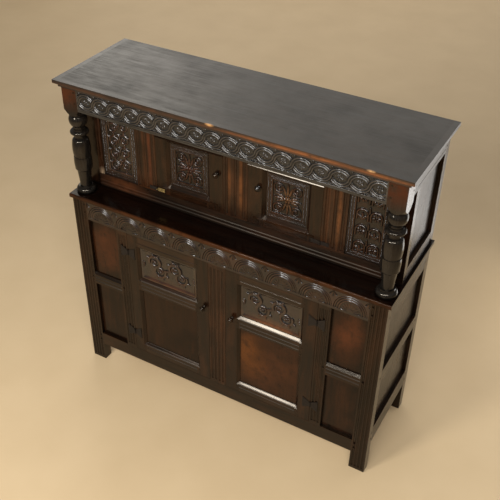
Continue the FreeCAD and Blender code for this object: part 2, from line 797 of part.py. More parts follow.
def recess_frame():
    """Rails, uprights and fixed carved panels of the recessed front."""
    flat_shares = (0.5, 0.15, 0.85)
    channel_radius = 7.5
    channel_depth = 3.6
    bead_heights = (8.0, 24.0)
    bead_radius = 7.5
    bead_sink = 2.5
    places = recess_places()
    thick = span_sum(recess_front, upper_rail_thickness)
    inside = (-corner_stile_inside, corner_stile_inside)
    opening = (recess_opening_foot, recess_opening_head)
    corner_tenon_length = 28.0
    to_corners = (("upper_front_stiles", corner_tenon_length),) * 2
    member("recess_bottom_rail", "x", inside, thick, (ledge_height, opening[0]), to_corners, pegs=0)
    member("recess_head_rail", "x", inside, thick, (opening[1], canopy_top), to_corners, pegs=0)
    for height in bead_heights:
        spot = Vector(inside[0], recess_front + bead_radius - bead_sink, ledge_height + height)
        bead = Part.makeCylinder(bead_radius, inside[1] - inside[0], spot, Vector(1, 0, 0))
        pieces["recess_bottom_rail"][0] = pieces["recess_bottom_rail"][0].fuse(bead)
    trim = box(grown(inside, overrun), (0, carcase_depth), (0, ledge_height))
    cut(["recess_bottom_rail"], trim)
    to_rails = (("recess_bottom_rail", short_tenon_length), ("recess_head_rail", tenon_length))
    for name in ("left_muntin", "centre", "right_muntin"):
        x = places[name]
        member("recess_uprights", "z", opening, thick, x, to_rails, pegs=1)
        channels = [x[0] + share * (x[1] - x[0]) for share in flat_shares]
        reeds("recess_uprights", channels, recess_front, grown(opening, -reed_foot_margin / 2),
              channel_radius, channel_depth)
    for name in ("left_end", "right_end"):
        add("recess_uprights", box(places[name], thick, opening))
    end_reeds = evenly(places["left_end"], 2, reed_radius)
    reeds("recess_uprights", end_reeds, recess_front, opening, reed_radius / 2, reed_depth / 2)
    hosts = ["recess_uprights", "recess_bottom_rail", "recess_head_rail"]
    for side in ("left", "right"):
        front_panel("recess_carved_panel_" + side, places[side + "_panel"], opening,
                    recess_front + recess_panel_setback, hosts)


def recess_panel_carving():
    """Arch over scrolls on the left fixed panel of the recess, and small arches on the right one."""
    line = 4.0
    left_arch_share = 0.42
    left_spring_share = 0.62
    right_arch_share = 0.46
    right_petal_share = 0.3
    scroll_petals = 3
    arch_petals = 6
    left_scroll_shares = ((0.16, -1), (0.42, 1), (0.68, -1))
    right_arch_shares = (0.12, 0.42, 0.72)
    places = recess_places()
    face = recess_front + recess_panel_setback
    height = recess_opening_head - recess_opening_foot

    left = places["left_panel"]
    node = ["recess_carved_panel_left"]
    x = middle(left)
    arch = (left[1] - left[0]) * left_arch_share
    spring = recess_opening_foot + height * left_spring_share
    ring_cut(node, x, spring, face, arch, arch - line, 0, 180)
    ring_cut(node, x, spring, face, arch - 2 * line, arch - 3 * line, 0, 180)
    scroll = arch / 2
    for lift_share, side in left_scroll_shares:
        z = recess_opening_foot + height * lift_share
        ring_cut(node, x + side * line, z, face, scroll, scroll - line, 0, 270)
        rosette_cut(node, x + side * line, z, face, scroll_petals, line, scroll - 2 * line, 2 * line)

    right = places["right_panel"]
    node = ["recess_carved_panel_right"]
    bay = (right[1] - right[0]) / 3
    radius = bay * right_arch_share
    for side in (-1, 1):
        for lift_share in right_arch_shares:
            x = middle(right) + side * bay / 2
            z = recess_opening_foot + height * lift_share
            ring_cut(node, x, z, face, radius, radius - line, 0, 180)
            rosette_cut(node, x, z, face, arch_petals, line / 2, bay * right_petal_share, line / 2)


def knob(node, x, z, face, radius, length, reach):
    """Turned knob on a spindle through the lock stile, with its wooden catch behind.

    The catch hangs clear at rest; a quarter turn brings it behind the muntin beside the door.
    """
    spindle_radius = 5.0
    spindle_play = 0.05
    square_half = 3.0
    catch_thickness = 9.0
    catch_width = 15.0
    catch_play = 0.6
    foot_share = 0.68
    foot_height = 2.5
    rim_share = 0.24
    neck_end_share = 0.45
    rim_end_share = 0.76
    back = face + door_thickness
    catch_y = span_sum(back + catch_play, catch_thickness)
    foot_radius = radius * foot_share
    rim = radius * rim_share
    head_radius = radius - rim
    neck_end = length * neck_end_share
    rim_end = length * rim_end_share
    outline = (
        (-door_thickness - catch_play, spindle_radius, 0),
        (catch_play, spindle_radius, 0),
        (catch_play, foot_radius, 0),
        (foot_height, foot_radius, 0),
        (neck_end, head_radius, -rim),
        (rim_end, head_radius, rim),
        (length, 0, cap_bulge(head_radius, length - rim_end)),
    )
    turned = turning(outline)
    turned.rotate(Vector(0, 0, 0), Vector(1, 0, 0), 90)
    turned.translate(Vector(x, face, z))
    end = box(grown((x, x), square_half), (catch_y[0] - catch_play, catch_y[1]), grown((z, z), square_half))
    add(node, turned.fuse(end).removeSplitter())
    half = catch_width / 2
    catch = box(grown((x, x), half), catch_y, (z - reach, z + half))
    add(node, catch.cut(end))
    return Part.makeCylinder(spindle_radius + spindle_play, door_thickness + overrun,
                             Vector(x, face - overrun / 2, z), Vector(0, 1, 0))


hinge_leaf_thickness = 2.0
knuckle_radius = 3.2
knuckle_lift = 0.4
pin_radius = 1.6
pin_play = 0.06
knuckle_play = 0.35
knuckle_gap = 0.9
pin_head_share = 0.8
nail_radius = 1.8
nail_rise = 0.8
nail_shares = ((0.45, 0), (0.8, 0.28), (0.8, -0.28))


def hinge_leaf(x, side, z, face, height, flare, width, bands):
    """Leaf of a face hinge that flares away from its knuckles; bands are the knuckle heights."""
    axis_y = face - knuckle_radius - knuckle_lift
    root = knuckle_radius + knuckle_gap
    y = (face - hinge_leaf_thickness, face)
    points = [
        Vector(x + side * root, y[0], z - height / 2),
        Vector(x + side * width, y[0], z - flare / 2),
        Vector(x + side * width, y[0], z + flare / 2),
        Vector(x + side * root, y[0], z + height / 2),
    ]
    leaf = prism(points, Vector(0, hinge_leaf_thickness, 0))
    parts = []
    bores = []
    for low, high in bands:
        parts.append(box(span_sum(x + side * knuckle_gap, side * root), y, (low, high)))
        parts.append(Part.makeCylinder(knuckle_radius, high - low, Vector(x, axis_y, low)))
        bores.append(Part.makeCylinder(pin_radius + pin_play, high - low, Vector(x, axis_y, low)))
    for along_share, lift_share in nail_shares:
        spot = Vector(x + side * width * along_share, y[0] + nail_rise, z + lift_share * flare)
        parts.append(Part.makeCylinder(nail_radius, 2 * nail_rise, spot, Vector(0, -1, 0)))
    return leaf.fuse(parts).cut(Part.makeCompound(bores)).removeSplitter()


def hinge(x, side, z, face, height, flare, width, door_node, frame_node):
    """Face hinge: door leaf with one knuckle, frame leaf with two, and the pin through them."""
    axis_y = face - knuckle_radius - knuckle_lift
    third = height / 3
    low = z - height / 2
    door_band = [(low + third + knuckle_play / 2, low + 2 * third - knuckle_play / 2)]
    frame_bands = [
        (low, low + third - knuckle_play / 2),
        (low + 2 * third + knuckle_play / 2, low + height),
    ]
    add(door_node, hinge_leaf(x, side, z, face, height, flare, width, door_band))
    add(frame_node, hinge_leaf(x, -side, z, face, height, flare, width, frame_bands))
    pin = Part.makeCylinder(pin_radius, height + 2 * nail_rise, Vector(x, axis_y, low - nail_rise))
    head_radius = knuckle_radius * pin_head_share
    heads = [
        Part.makeCylinder(head_radius, nail_rise, Vector(x, axis_y, low - nail_rise)),
        Part.makeCylinder(head_radius, nail_rise, Vector(x, axis_y, low + height)),
    ]
    add(frame_node, pin.fuse(heads).removeSplitter())


def door(name, x, z, face, side, hinge_width, lock_width, rails, panels, setback, bevel):
    """Framed door. side is -1 where it hangs on its left edge and 1 where it hangs on its right."""
    stiles = name + "_stiles"
    rail_node = name + "_rails"
    peg_node = name + "_pegs"
    thick = span_sum(face, door_thickness)
    hinge_edge, lock_edge = (x[0], x[1]) if side < 0 else (x[1], x[0])
    hinge_stile = span_sum(hinge_edge, -side * hinge_width)
    lock_stile = span_sum(lock_edge, side * lock_width)
    add(stiles, box(hinge_stile, thick, z))
    add(stiles, box(lock_stile, thick, z))
    between = (min(hinge_stile[1], lock_stile[1]), max(hinge_stile[0], lock_stile[0]))
    ends = ((stiles, tenon_length), (stiles, tenon_length))
    for rail in rails:
        member(rail_node, "x", between, thick, rail, ends, peg_node=peg_node, pegs=1)
    for i, node in enumerate(panels):
        opening = (rails[i][1], rails[i + 1][0])
        front_panel(node, between, opening, face + setback, [stiles, rail_node])
        bevel_all_round([stiles, rail_node], between, opening, face, bevel)
    return between


def lower_doors():
    """Two doors of the lower stage, each with a carved panel above a plain one."""
    leaf_height = 24.0
    leaf_flare = 58.0
    leaf_width = 34.0
    knob_radius = 12.5
    catch_lap = 20.0
    line_size = 2.0
    mid_line_shares = (0.32, 0.58)
    foot_line_share = 0.48
    head_line_share = 0.5
    z = grown((lower_opening_foot, lower_opening_head), -door_gap)
    head = span_sum(z[1], -lower_door_top_rail_height)
    mid = span_sum(head[0] - lower_door_carved_height, -lower_door_mid_rail_height)
    foot = span_sum(z[0], lower_door_bottom_rail_height)
    rails = (foot, mid, head)
    for side, hinge_width, inset in (
        (-1, left_hinge_stile_width, lower_left_knob_inset),
        (1, right_hinge_stile_width, lower_right_knob_inset),
    ):
        name = "lower_left_door" if side < 0 else "lower_right_door"
        lock_side = centre_muntin[0] if side < 0 else centre_muntin[1]
        x = span_sum(side * outer_muntin_inside, lock_side - side * outer_muntin_inside)
        x = grown(x, -door_gap)
        panels = (name + "_plain_panel", name + "_carved_panel")
        between = door(name, x, z, 0, side, hinge_width, lower_lock_stile_width, rails, panels,
                       lower_door_bevel, lower_door_bevel)
        rail_node = [name + "_rails"]
        for share in mid_line_shares:
            line_groove(rail_node, between, mid[0] + share * (mid[1] - mid[0]), 0, line_size)
        line_groove(rail_node, between, foot[0] + foot_line_share * (foot[1] - foot[0]), 0, line_size)
        line_groove(rail_node, between, head[0] + head_line_share * (head[1] - head[0]), 0, line_size)
        lock_edge = x[1] if side < 0 else x[0]
        hole = knob(name + "_knob", lock_edge + side * inset, mid[0] + lower_knob_rise, 0,
                    knob_radius, lower_knob_length, inset + catch_lap)
        cut([name + "_stiles", name + "_rails"], hole)
        axis_x = side * (outer_muntin_inside - door_gap / 2)
        for height in (z[0] + lower_hinge_rise, z[1] - lower_hinge_drop):
            hinge(axis_x, -side, height, 0, leaf_height, leaf_flare, leaf_width,
                  name + "_hinge_leaves", "lower_hinge_frame_leaves")
        vine_carving(name + "_carved_panel", between, (mid[1], head[0]))


def vine_carving(node, x, z):
    """Running scroll of a vine with a flower in each turn."""
    face = lower_door_bevel
    line = 5.0
    turns = 4
    petals = 6
    joint_angle = 5
    leaf_length = 16.0
    leaf_spread = 35
    pitch = (x[1] - x[0]) / (turns + 1)
    radius = pitch / 2 + line / 2
    for i in range(turns):
        up = i % 2 == 0
        centre_x = x[0] + pitch * (i + 1)
        start = 0 if up else 180
        ring_cut([node], centre_x, middle(z), face, radius, radius - line,
                 start - joint_angle, 180 + 2 * joint_angle)
        ring_cut([node], centre_x, middle(z), face, radius / 2, radius / 2 - line / 2, 0, 360)
        rosette_cut([node], centre_x, middle(z), face, petals, line / 2, radius / 2 - line, line / 2)
        bend = 90 if up else -90
        for turn in (-leaf_spread, 0, leaf_spread):
            leaf_cut([node], centre_x, middle(z), face, bend + turn, radius + line,
                     radius + line + leaf_length, line)


def upper_doors():
    """Two doors of the upper stage, each with one square carved panel and run beads."""
    leaf_height = 14.0
    leaf_flare = 16.0
    leaf_width = 36.0
    lower_hinge_lift = 13.0
    upper_hinge_drop = 16.0
    knob_radius = 12.0
    knob_length = 21.0
    catch_lap = 20.0
    bead_height = 6.0
    bead_rise = 3.0
    bead_lift = 14.0
    low_bead_drop = 13.0
    low_bead_inset = 24.0
    places = recess_places()
    z = grown((recess_opening_foot, recess_opening_head), -door_gap)
    rails = (
        span_sum(z[0], upper_door_bottom_rail_height),
        (z[1] - upper_door_top_rail_height, z[1]),
    )
    for side, inset in ((-1, upper_left_knob_inset), (1, upper_right_knob_inset)):
        name = "upper_left_door" if side < 0 else "upper_right_door"
        x = grown(places["left_door" if side < 0 else "right_door"], -door_gap)
        between = door(name, x, z, recess_front, side, upper_hinge_stile_width,
                       upper_lock_stile_width, rails, (name + "_carved_panel",),
                       upper_door_bevel, upper_door_bevel)
        lock_edge = x[1] if side < 0 else x[0]
        hole = knob(name + "_knob", lock_edge + side * inset, middle(z) + upper_knob_rise, recess_front,
                    knob_radius, knob_length, inset + catch_lap)
        cut([name + "_stiles", name + "_rails"], hole)
        hinge_edge = places["left_door"][0] if side < 0 else places["right_door"][1]
        axis_x = hinge_edge - side * door_gap / 2
        for height in (z[0] + lower_hinge_lift, z[1] - upper_hinge_drop):
            hinge(axis_x, -side, height, recess_front, leaf_height, leaf_flare, leaf_width,
                  name + "_hinge_leaves", "upper_hinge_frame_leaves")
        high = rails[1][0] + bead_lift
        low = rails[0][1] - low_bead_drop - bead_height
        for span, foot in ((x, high), (grown(x, -low_bead_inset), low)):
            points = [
                Vector(span[0], recess_front, foot),
                Vector(span[0], recess_front - bead_rise, foot + bead_height / 4),
                Vector(span[0], recess_front - bead_rise, foot + bead_height * 3 / 4),
                Vector(span[0], recess_front, foot + bead_height),
            ]
            add(name + "_bead", prism(points, Vector(span[1] - span[0], 0, 0)))
        door_panel_carving(name + "_carved_panel", between, (rails[0][1], rails[1][0]))


def door_panel_carving(node, x, z):
    """Punched border round a rosette of leaves."""
    face = recess_front + upper_door_bevel
    border_share = 0.136
    punch_share = 0.3
    punch_pitch_share = 0.54
    line_share = 0.1
    petals = 8
    near_share = 0.18
    far_share = 0.84
    width_share = 0.22
    border = (x[1] - x[0]) * border_share
    punch_size = border * punch_share
    punch_pitch = border * punch_pitch_share
    line = border * line_share
    inner_x = grown(x, -border)
    inner_z = grown(z, -border)
    frame = box(inner_x, (face, face + carving_depth), inner_z)
    frame = frame.cut(box(grown(inner_x, -line), (0, carcase_depth), grown(inner_z, -line)))
    cut([node], frame)
    for span, other in ((x, z), (z, x)):
        count = int((span[1] - span[0] - border) / punch_pitch)
        start = middle(span) - punch_pitch * (count - 1) / 2
        corner = 0 if span is x else 1
        for i in range(corner, count - corner):
            along = grown((start + punch_pitch * i,) * 2, punch_size / 2)
            for edge in (other[0] + border / 2, other[1] - border / 2):
                across = grown((edge, edge), punch_size / 2)
                spans = (along, across) if span is x else (across, along)
                cut([node], box(spans[0], (face, face + carving_depth / 2), spans[1]))
    reach = (inner_x[1] - inner_x[0]) / 2 - line
    ring_cut([node], middle(x), middle(z), face, reach - line, reach - 2 * line, 0, 360)
    rosette_cut([node], middle(x), middle(z), face, petals, reach * near_share, reach * far_share,
                reach * width_share, 360 / petals / 2)


def cut_solid(solid, tools):
    """Solid without the tools that reach it."""
    near = [t for t in tools if t.BoundBox.intersect(solid.BoundBox)]
    if not near:
        return solid
    result = solid.cut(near)
    whole = sorted(result.Solids, key=lambda s: s.Volume)
    return whole[-1].removeSplitter()


def export():
    """Cuts the joints, moves the origin to the middle of the footprint and writes one file a node."""
    finished = {node: [cut_solid(s, cutters.get(node, [])) for s in shapes]
                for node, shapes in pieces.items()}
    shift = Vector(0, -(top_back - front_reach) / 2, 0)
    os.makedirs("parts", exist_ok=True)
    for node, shapes in finished.items():
        moved = [s.translated(shift) for s in shapes]
        shape = moved[0] if len(moved) == 1 else Part.makeCompound(moved)
        shape.exportStep("parts/" + node + ".step")
    print("nodes", len(finished), "solids", sum(len(shapes) for shapes in finished.values()))


lower_front_frame()
lunette_carving()
lower_sides_and_back()
ledge()
columns()
canopy()
top_edge_moulding()
frieze_carving()
upper_sides()
recess_frame()
recess_panel_carving()
lower_doors()
upper_doors()
export()
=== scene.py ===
import json
import math

import bpy
import numpy as np
from mathutils import Matrix, Vector

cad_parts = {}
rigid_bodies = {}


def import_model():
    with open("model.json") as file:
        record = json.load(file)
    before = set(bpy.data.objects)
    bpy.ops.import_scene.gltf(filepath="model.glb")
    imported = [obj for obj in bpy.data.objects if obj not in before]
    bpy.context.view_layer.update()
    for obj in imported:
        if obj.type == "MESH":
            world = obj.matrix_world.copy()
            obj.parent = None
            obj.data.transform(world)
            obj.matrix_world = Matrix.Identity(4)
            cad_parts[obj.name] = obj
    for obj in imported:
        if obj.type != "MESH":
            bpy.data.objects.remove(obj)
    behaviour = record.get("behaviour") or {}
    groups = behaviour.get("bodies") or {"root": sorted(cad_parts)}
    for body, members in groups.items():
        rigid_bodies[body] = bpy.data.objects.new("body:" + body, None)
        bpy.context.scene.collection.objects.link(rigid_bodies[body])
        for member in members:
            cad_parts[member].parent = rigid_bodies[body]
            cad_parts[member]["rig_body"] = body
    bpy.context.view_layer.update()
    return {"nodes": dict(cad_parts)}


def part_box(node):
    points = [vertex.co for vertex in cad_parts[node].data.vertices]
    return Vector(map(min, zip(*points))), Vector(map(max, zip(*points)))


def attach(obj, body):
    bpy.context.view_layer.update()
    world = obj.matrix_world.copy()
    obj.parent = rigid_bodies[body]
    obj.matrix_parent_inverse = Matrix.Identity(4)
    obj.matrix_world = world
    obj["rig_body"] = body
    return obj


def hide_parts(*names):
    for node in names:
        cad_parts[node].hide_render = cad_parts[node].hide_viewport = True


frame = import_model()

millimetre = 0.001
random_seed = 1650
random = np.random.default_rng(random_seed)
body_nodes = {name: node["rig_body"] for name, node in frame["nodes"].items()}


def placed(name, data):
    """New object of some data, in the scene."""
    thing = bpy.data.objects.new(name, data)
    bpy.context.scene.collection.objects.link(thing)
    return thing


# Camera, solved from the photograph

camera_place = (1.288403, -2.309895, 2.746508)
camera_yaw = 0.5064426
camera_pitch = 0.6451234
camera_roll = 0.0139821
focal_pixels = 803.693
centre_pixels = (245.8485, 249.2202)
image_pixels = 500
sensor_width = 36.0


def make_camera():
    """Camera at the photograph's place and angle."""
    sin_yaw, cos_yaw = math.sin(camera_yaw), math.cos(camera_yaw)
    sin_pitch, cos_pitch = math.sin(camera_pitch), math.cos(camera_pitch)
    forward = Vector((-sin_yaw * cos_pitch, cos_yaw * cos_pitch, -sin_pitch))
    level = Vector((cos_yaw, sin_yaw, 0))
    upright = level.cross(forward)
    right = level * math.cos(camera_roll) + upright * math.sin(camera_roll)
    up = upright * math.cos(camera_roll) - level * math.sin(camera_roll)
    data = bpy.data.cameras.new("camera")
    data.sensor_width = sensor_width
    data.lens = focal_pixels / image_pixels * sensor_width
    data.shift_x = (image_pixels / 2 - centre_pixels[0]) / image_pixels
    data.shift_y = (centre_pixels[1] - image_pixels / 2) / image_pixels
    camera = placed("camera", data)
    turn = Matrix((right, up, -forward)).transposed().to_4x4()
    camera.matrix_world = Matrix.Translation(camera_place) @ turn
    bpy.context.scene.camera = camera


# Light and floor

white = (1.0, 1.0, 1.0)
warm_white = (1.0, 0.95, 0.86)

# Each lamp: name, place, aim, width and height, power and colour
lamps = (
    ("key_light", (-0.84, -2.99, 2.38), (0.1, 0, 0.8), (0.7, 0.9), 80, white),
    ("front_light", (1.2, -2.9, 3.2), (0, 0, 0.9), (2.8, 0.35), 135, white),
    ("wall_light", (-2.0, 5.6, 3.6), (0, 0, 1.2), (6.5, 6.5), 120, warm_white),
    ("sheen_light", (-4.4, 4.6, 4.0), (-0.4, 0, 1.42), (2.2, 2.2), 36, warm_white),
    ("side_light", (1.6, 1.35, 0.55), (0.7, 0, 1.0), (1.1, 1.1), 9, white),
)
world_strength = 0.25
floor_half = 30.0
floor_dark = (0.55, 0.40, 0.225)
floor_light = (0.59, 0.435, 0.25)


def softbox(name, place, aim, size, power, color):
    """Soft lamp of some width and height that faces a point."""
    data = bpy.data.lights.new(name, "AREA")
    data.shape = "RECTANGLE"
    data.size, data.size_y = size
    data.energy = power
    data.color = color
    lamp = placed(name, data)
    lamp.location = place
    lamp.rotation_euler = (Vector(aim) - Vector(place)).to_track_quat("-Z", "Y").to_euler()
    lamp.visible_camera = False


def make_world():
    """Plain even light from all round."""
    world = bpy.data.worlds.new("studio")
    world.use_nodes = True
    background = world.node_tree.nodes["Background"]
    background.inputs["Color"].default_value = (*white, 1)
    background.inputs["Strength"].default_value = world_strength
    bpy.context.scene.world = world


def make_floor():
    """Plain pale floor."""
    mesh = bpy.data.meshes.new("floor")
    ends = (-floor_half, floor_half)
    corners = [(ends[0], ends[0], 0), (ends[1], ends[0], 0), (ends[1], ends[1], 0), (ends[0], ends[1], 0)]
    mesh.from_pydata(corners, [], [(0, 1, 2, 3)])
    floor = placed("floor", mesh)
    made = Shader("pale_floor")
    grain = made.noise(made.place(), scale=3.0, detail=4.0, rough=0.5)
    tint = made.ramp(grain, ((0.3, floor_dark), (0.7, floor_light)))
    mesh.materials.append(made.surface(tint, roughness=0.6))


# Materials

glow_core_share = 0.25


class Shader:
    """Small helper that builds one node material."""

    def __init__(self, name):
        self.material = bpy.data.materials.new(name)
        self.material.use_nodes = True
        self.tree = self.material.node_tree
        self.tree.nodes.clear()

    def add(self, kind, inputs=None, **settings):
        """Adds a node, sets its settings and fills or links its inputs."""
        node = self.tree.nodes.new(kind)
        for key, value in settings.items():
            setattr(node, key, value)
        for key, value in (inputs or {}).items():
            if isinstance(value, bpy.types.NodeSocket):
                self.tree.links.new(value, node.inputs[key])
            else:
                node.inputs[key].default_value = value
        return node

    def place(self, scale=(1, 1, 1), offset=(0, 0, 0)):
        """Coordinates that stay with the piece, stretched by scale."""
        source = self.add("ShaderNodeTexCoord").outputs["Object"]
        mapping = self.add("ShaderNodeMapping", {"Vector": source, "Scale": scale, "Location": offset})
        return mapping.outputs["Vector"]

    def noise(self, vector, scale, detail, rough, warp=0.0):
        """Noise value from 0 to 1."""
        node = self.add("ShaderNodeTexNoise", {
            "Vector": vector, "Scale": scale, "Detail": detail, "Roughness": rough, "Distortion": warp,
        })
        return node.outputs["Fac"]

    def math(self, operation, a, b, clamp=False):
        """One sum."""
        node = self.add("ShaderNodeMath", {0: a, 1: b}, operation=operation, use_clamp=clamp)
        return node.outputs[0]

    def times(self, a, share):
        """A value times a share or another value."""
        return self.math("MULTIPLY", a, share)

    def plus(self, a, b, clamp=False):
        """Sum of two values, held between 0 and 1 if asked."""
        return self.math("ADD", a, b, clamp)

    def minus(self, a, b):
        """First value less the second."""
        return self.math("SUBTRACT", a, b)

    def spread(self, value, low, high):
        """Value stretched so that low gives 0 and high gives 1."""
        node = self.add("ShaderNodeMapRange", {0: value, 1: low, 2: high}, clamp=True)
        return node.outputs[0]

    def ramp(self, value, stops):
        """Colour from a list of (place, colour)."""
        node = self.add("ShaderNodeValToRGB", {"Fac": value})
        for element, (place, color) in zip(node.color_ramp.elements, stops):
            element.position = place
            element.color = (*color, 1)
        return node.outputs["Color"]

    def mix(self, share, a, b):
        """Mixes two colours."""
        node = self.add("ShaderNodeMix", data_type="RGBA")
        for socket, value in ((node.inputs[0], share), (node.inputs[6], a), (node.inputs[7], b)):
            if isinstance(value, bpy.types.NodeSocket):
                self.tree.links.new(value, socket)
            else:
                socket.default_value = (*value, 1)
        return node.outputs[2]

    def glow(self, centre, radii):
        """Soft patch: 1 near the centre and 0 past the radii."""
        shift = tuple(-c / r for c, r in zip(centre, radii))
        vector = self.place(tuple(1 / r for r in radii), shift)
        length = self.add("ShaderNodeVectorMath", {0: vector}, operation="LENGTH").outputs["Value"]
        return self.spread(length, low=1.0, high=glow_core_share)

    def bump(self, height, depth, under=None):
        """Normal of small relief of that depth, over another normal."""
        inputs = {"Height": height, "Strength": 1.0, "Distance": depth}
        if under is not None:
            inputs["Normal"] = under
        return self.add("ShaderNodeBump", inputs).outputs["Normal"]

    def surface(self, color, roughness, normal=None, metallic=0.0, specular=0.5, gloss=white):
        """Ends the material with a surface of that colour."""
        inputs = {
            "Base Color": color,
            "Roughness": roughness,
            "Metallic": metallic,
            "Specular IOR Level": specular,
            "Specular Tint": (*gloss, 1),
        }
        if normal is not None:
            inputs["Normal"] = normal
        end = self.add("ShaderNodeBsdfPrincipled", inputs)
        self.add("ShaderNodeOutputMaterial", {"Surface": end.outputs[0]})
        return self.material


warm_gloss = (1.0, 0.87, 0.70)
plain_gloss = (1.0, 0.96, 0.90)
top_gloss = (1.0, 0.955, 0.88)
carved_gloss = (1.0, 0.98, 0.95)

grain_scales = {"x": (1, 15, 15), "y": (15, 1, 15), "z": (15, 15, 1)}
seed_steps = (1.7, 0.9, 2.3)
wide_grain_share = 0.3
grime_tone_share = 0.6
soot_tone_share = 0.35
streak_middle_share = 0.8

edge_radius = 2.2 * millimetre
hollow_reach = 12 * millimetre
look_samples = 4
wave_depth = 0.3 * millimetre
smooth_wave_depth = 0.2 * millimetre
grain_depth = 0.04 * millimetre
smooth_grain_depth = 0.012 * millimetre
hammer_depth = 0.2 * millimetre


def toned(color, share):
    """A darker shade of a colour."""
    return tuple(c * share for c in color)


def oak_patterns(made, grain, seed):
    """Patterns of the wood: some run along its grain and some lie in patches."""
    shift = tuple(seed * step for step in seed_steps)
    along = made.place(grain_scales[grain], shift)
    still = made.place((1, 1, 1), shift)
    wide = made.place(tuple(1 + (s - 1) * wide_grain_share for s in grain_scales[grain]), shift)
    pores = made.noise(along, scale=120.0, detail=2.0, rough=0.5)
    return {
        "rings": made.noise(along, scale=8.0, detail=4.0, rough=0.6, warp=0.6),
        "fibre": made.noise(along, scale=38.0, detail=5.0, rough=0.65),
        "pores": made.spread(pores, low=0.58, high=0.72),
        "patches": made.noise(still, scale=7.5, detail=4.0, rough=0.6),
        "warm": made.noise(wide, scale=3.3, detail=3.0, rough=0.5, warp=0.4),
        "mottle": made.noise(still, scale=30.0, detail=3.0, rough=0.6),
        "waves": made.noise(still, scale=28.0, detail=1.0, rough=0.5),
    }


def oak_color(made, seen, colors, glows):
    """Grain from dark to light, with rubbed areas, warm patches, grime and pores."""
    dark, light, worn = colors
    tone = made.plus(made.times(seen["rings"], share=0.65), made.times(seen["fibre"], share=0.35))
    color = made.ramp(tone, ((0.40, dark), (0.62, light)))
    rub = made.times(made.spread(seen["warm"], low=0.48, high=0.66), share=0.22)
    color = made.mix(rub, color, worn)
    for centre, radii, tint, share in glows:
        patch = made.times(made.glow(centre, radii), made.spread(seen["mottle"], low=0.2, high=0.55))
        color = made.mix(made.times(patch, share), color, tint)
    grime = made.times(made.spread(seen["patches"], low=0.48, high=0.66), share=0.6)
    color = made.mix(grime, color, toned(dark, grime_tone_share))
    return made.mix(made.times(seen["pores"], share=0.6), color, toned(dark, soot_tone_share))


def oak_wear(made, seen, color, colors, wear_share, dirt_share, carved):
    """The colour with worn edges and dirty hollows, and how dirty each point is."""
    dark, _, worn = colors
    soot = toned(dark, soot_tone_share)
    edge_normal = made.add("ShaderNodeBevel", {"Radius": edge_radius}, samples=look_samples).outputs["Normal"]
    true_normal = made.add("ShaderNodeNewGeometry").outputs["Normal"]
    agree = made.add("ShaderNodeVectorMath", {0: edge_normal, 1: true_normal}, operation="DOT_PRODUCT")
    edge = made.spread(agree.outputs["Value"], low=0.985, high=0.86)
    hollow = made.add("ShaderNodeAmbientOcclusion", {"Distance": hollow_reach}, samples=look_samples)
    open_share = made.spread(hollow.outputs["AO"], low=0.45, high=0.95)
    scuff = made.spread(seen["mottle"], low=0.3, high=0.62)
    edge_wear = made.times(made.times(edge, open_share), scuff)
    color = made.mix(made.times(edge_wear, wear_share), color, worn)
    dirt = made.times(made.minus(1.0, open_share), dirt_share)
    color = made.mix(dirt, color, soot)
    if carved:
        relief = made.add("ShaderNodeAttribute", attribute_name="relief").outputs["Fac"]
        sunk = made.spread(relief, low=0.48, high=0.2)
        raised = made.times(made.spread(relief, low=0.55, high=0.9), scuff)
        color = made.mix(made.times(sunk, dirt_share), color, soot)
        color = made.mix(made.times(raised, wear_share), color, worn)
    return color, dirt


def oak_roughness(made, seen, dirt, rough, streak_share, dull):
    """Roughness in streaks, higher in dirt and in the dull patches."""
    streaks = made.plus(seen["rings"], made.times(seen["patches"], share=0.6))
    uneven = made.plus(rough, made.times(made.minus(streaks, streak_middle_share), streak_share))
    roughness = made.plus(uneven, made.times(dirt, share=0.2), clamp=True)
    for centre, radii in dull:
        roughness = made.plus(roughness, made.times(made.glow(centre, radii), share=0.4), clamp=True)
    return roughness


def oak(name, grain, colors, seed, wear_share=0.5, rough=0.20, specular=0.28, gloss=warm_gloss, glows=(),
        dull=(), carved=False, dirt_share=0.8, streak_share=0.2, waves=wave_depth, fine=grain_depth):
    """Old polished oak: its dark, light and worn colours, the axis of its grain, and its patches."""
    made = Shader(name)
    seen = oak_patterns(made, grain, seed)
    color = oak_color(made, seen, colors, glows)
    color, dirt = oak_wear(made, seen, color, colors, wear_share, dirt_share, carved)
    roughness = oak_roughness(made, seen, dirt, rough, streak_share, dull)
    wavy = made.bump(seen["waves"], waves)
    pored = made.minus(seen["fibre"], made.times(seen["pores"], share=0.5))
    return made.surface(color, roughness, made.bump(pored, fine, wavy), specular=specular, gloss=gloss)


def metal(name, dark, light, rough, metallic, specular=0.5):
    """Hammered and tarnished metal."""
    made = Shader(name)
    still = made.place()
    rust = made.noise(still, scale=180.0, detail=4.0, rough=0.65)
    color = made.ramp(rust, ((0.35, dark), (0.7, light)))
    hammer = made.noise(still, scale=320.0, detail=2.0, rough=0.5)
    roughness = made.plus(rough, made.times(made.minus(rust, 0.5), share=0.3))
    return made.surface(color, roughness, made.bump(hammer, hammer_depth), metallic, specular)


# Relief boards: crests lie just below the board's face, and the ground between them is sunk and punched

reed_crest = 0.1 * millimetre
low_reed_crest = 0.2 * millimetre
leaf_crest = 0.3 * millimetre
petal_crest = 0.4 * millimetre
reed_rise_share = 0.7
leaf_rise_share = 0.55

ground_depth = 4.6 * millimetre
wall_slope = 1.5 * millimetre
punch_depth = 0.8 * millimetre

line_width = 2.4 * millimetre
line_depth = 0.35 * millimetre
border_line_width = 1.8 * millimetre
border_line_depth = 0.7 * millimetre
pit_depth = 2.2 * millimetre
pit_slope = 0.8 * millimetre

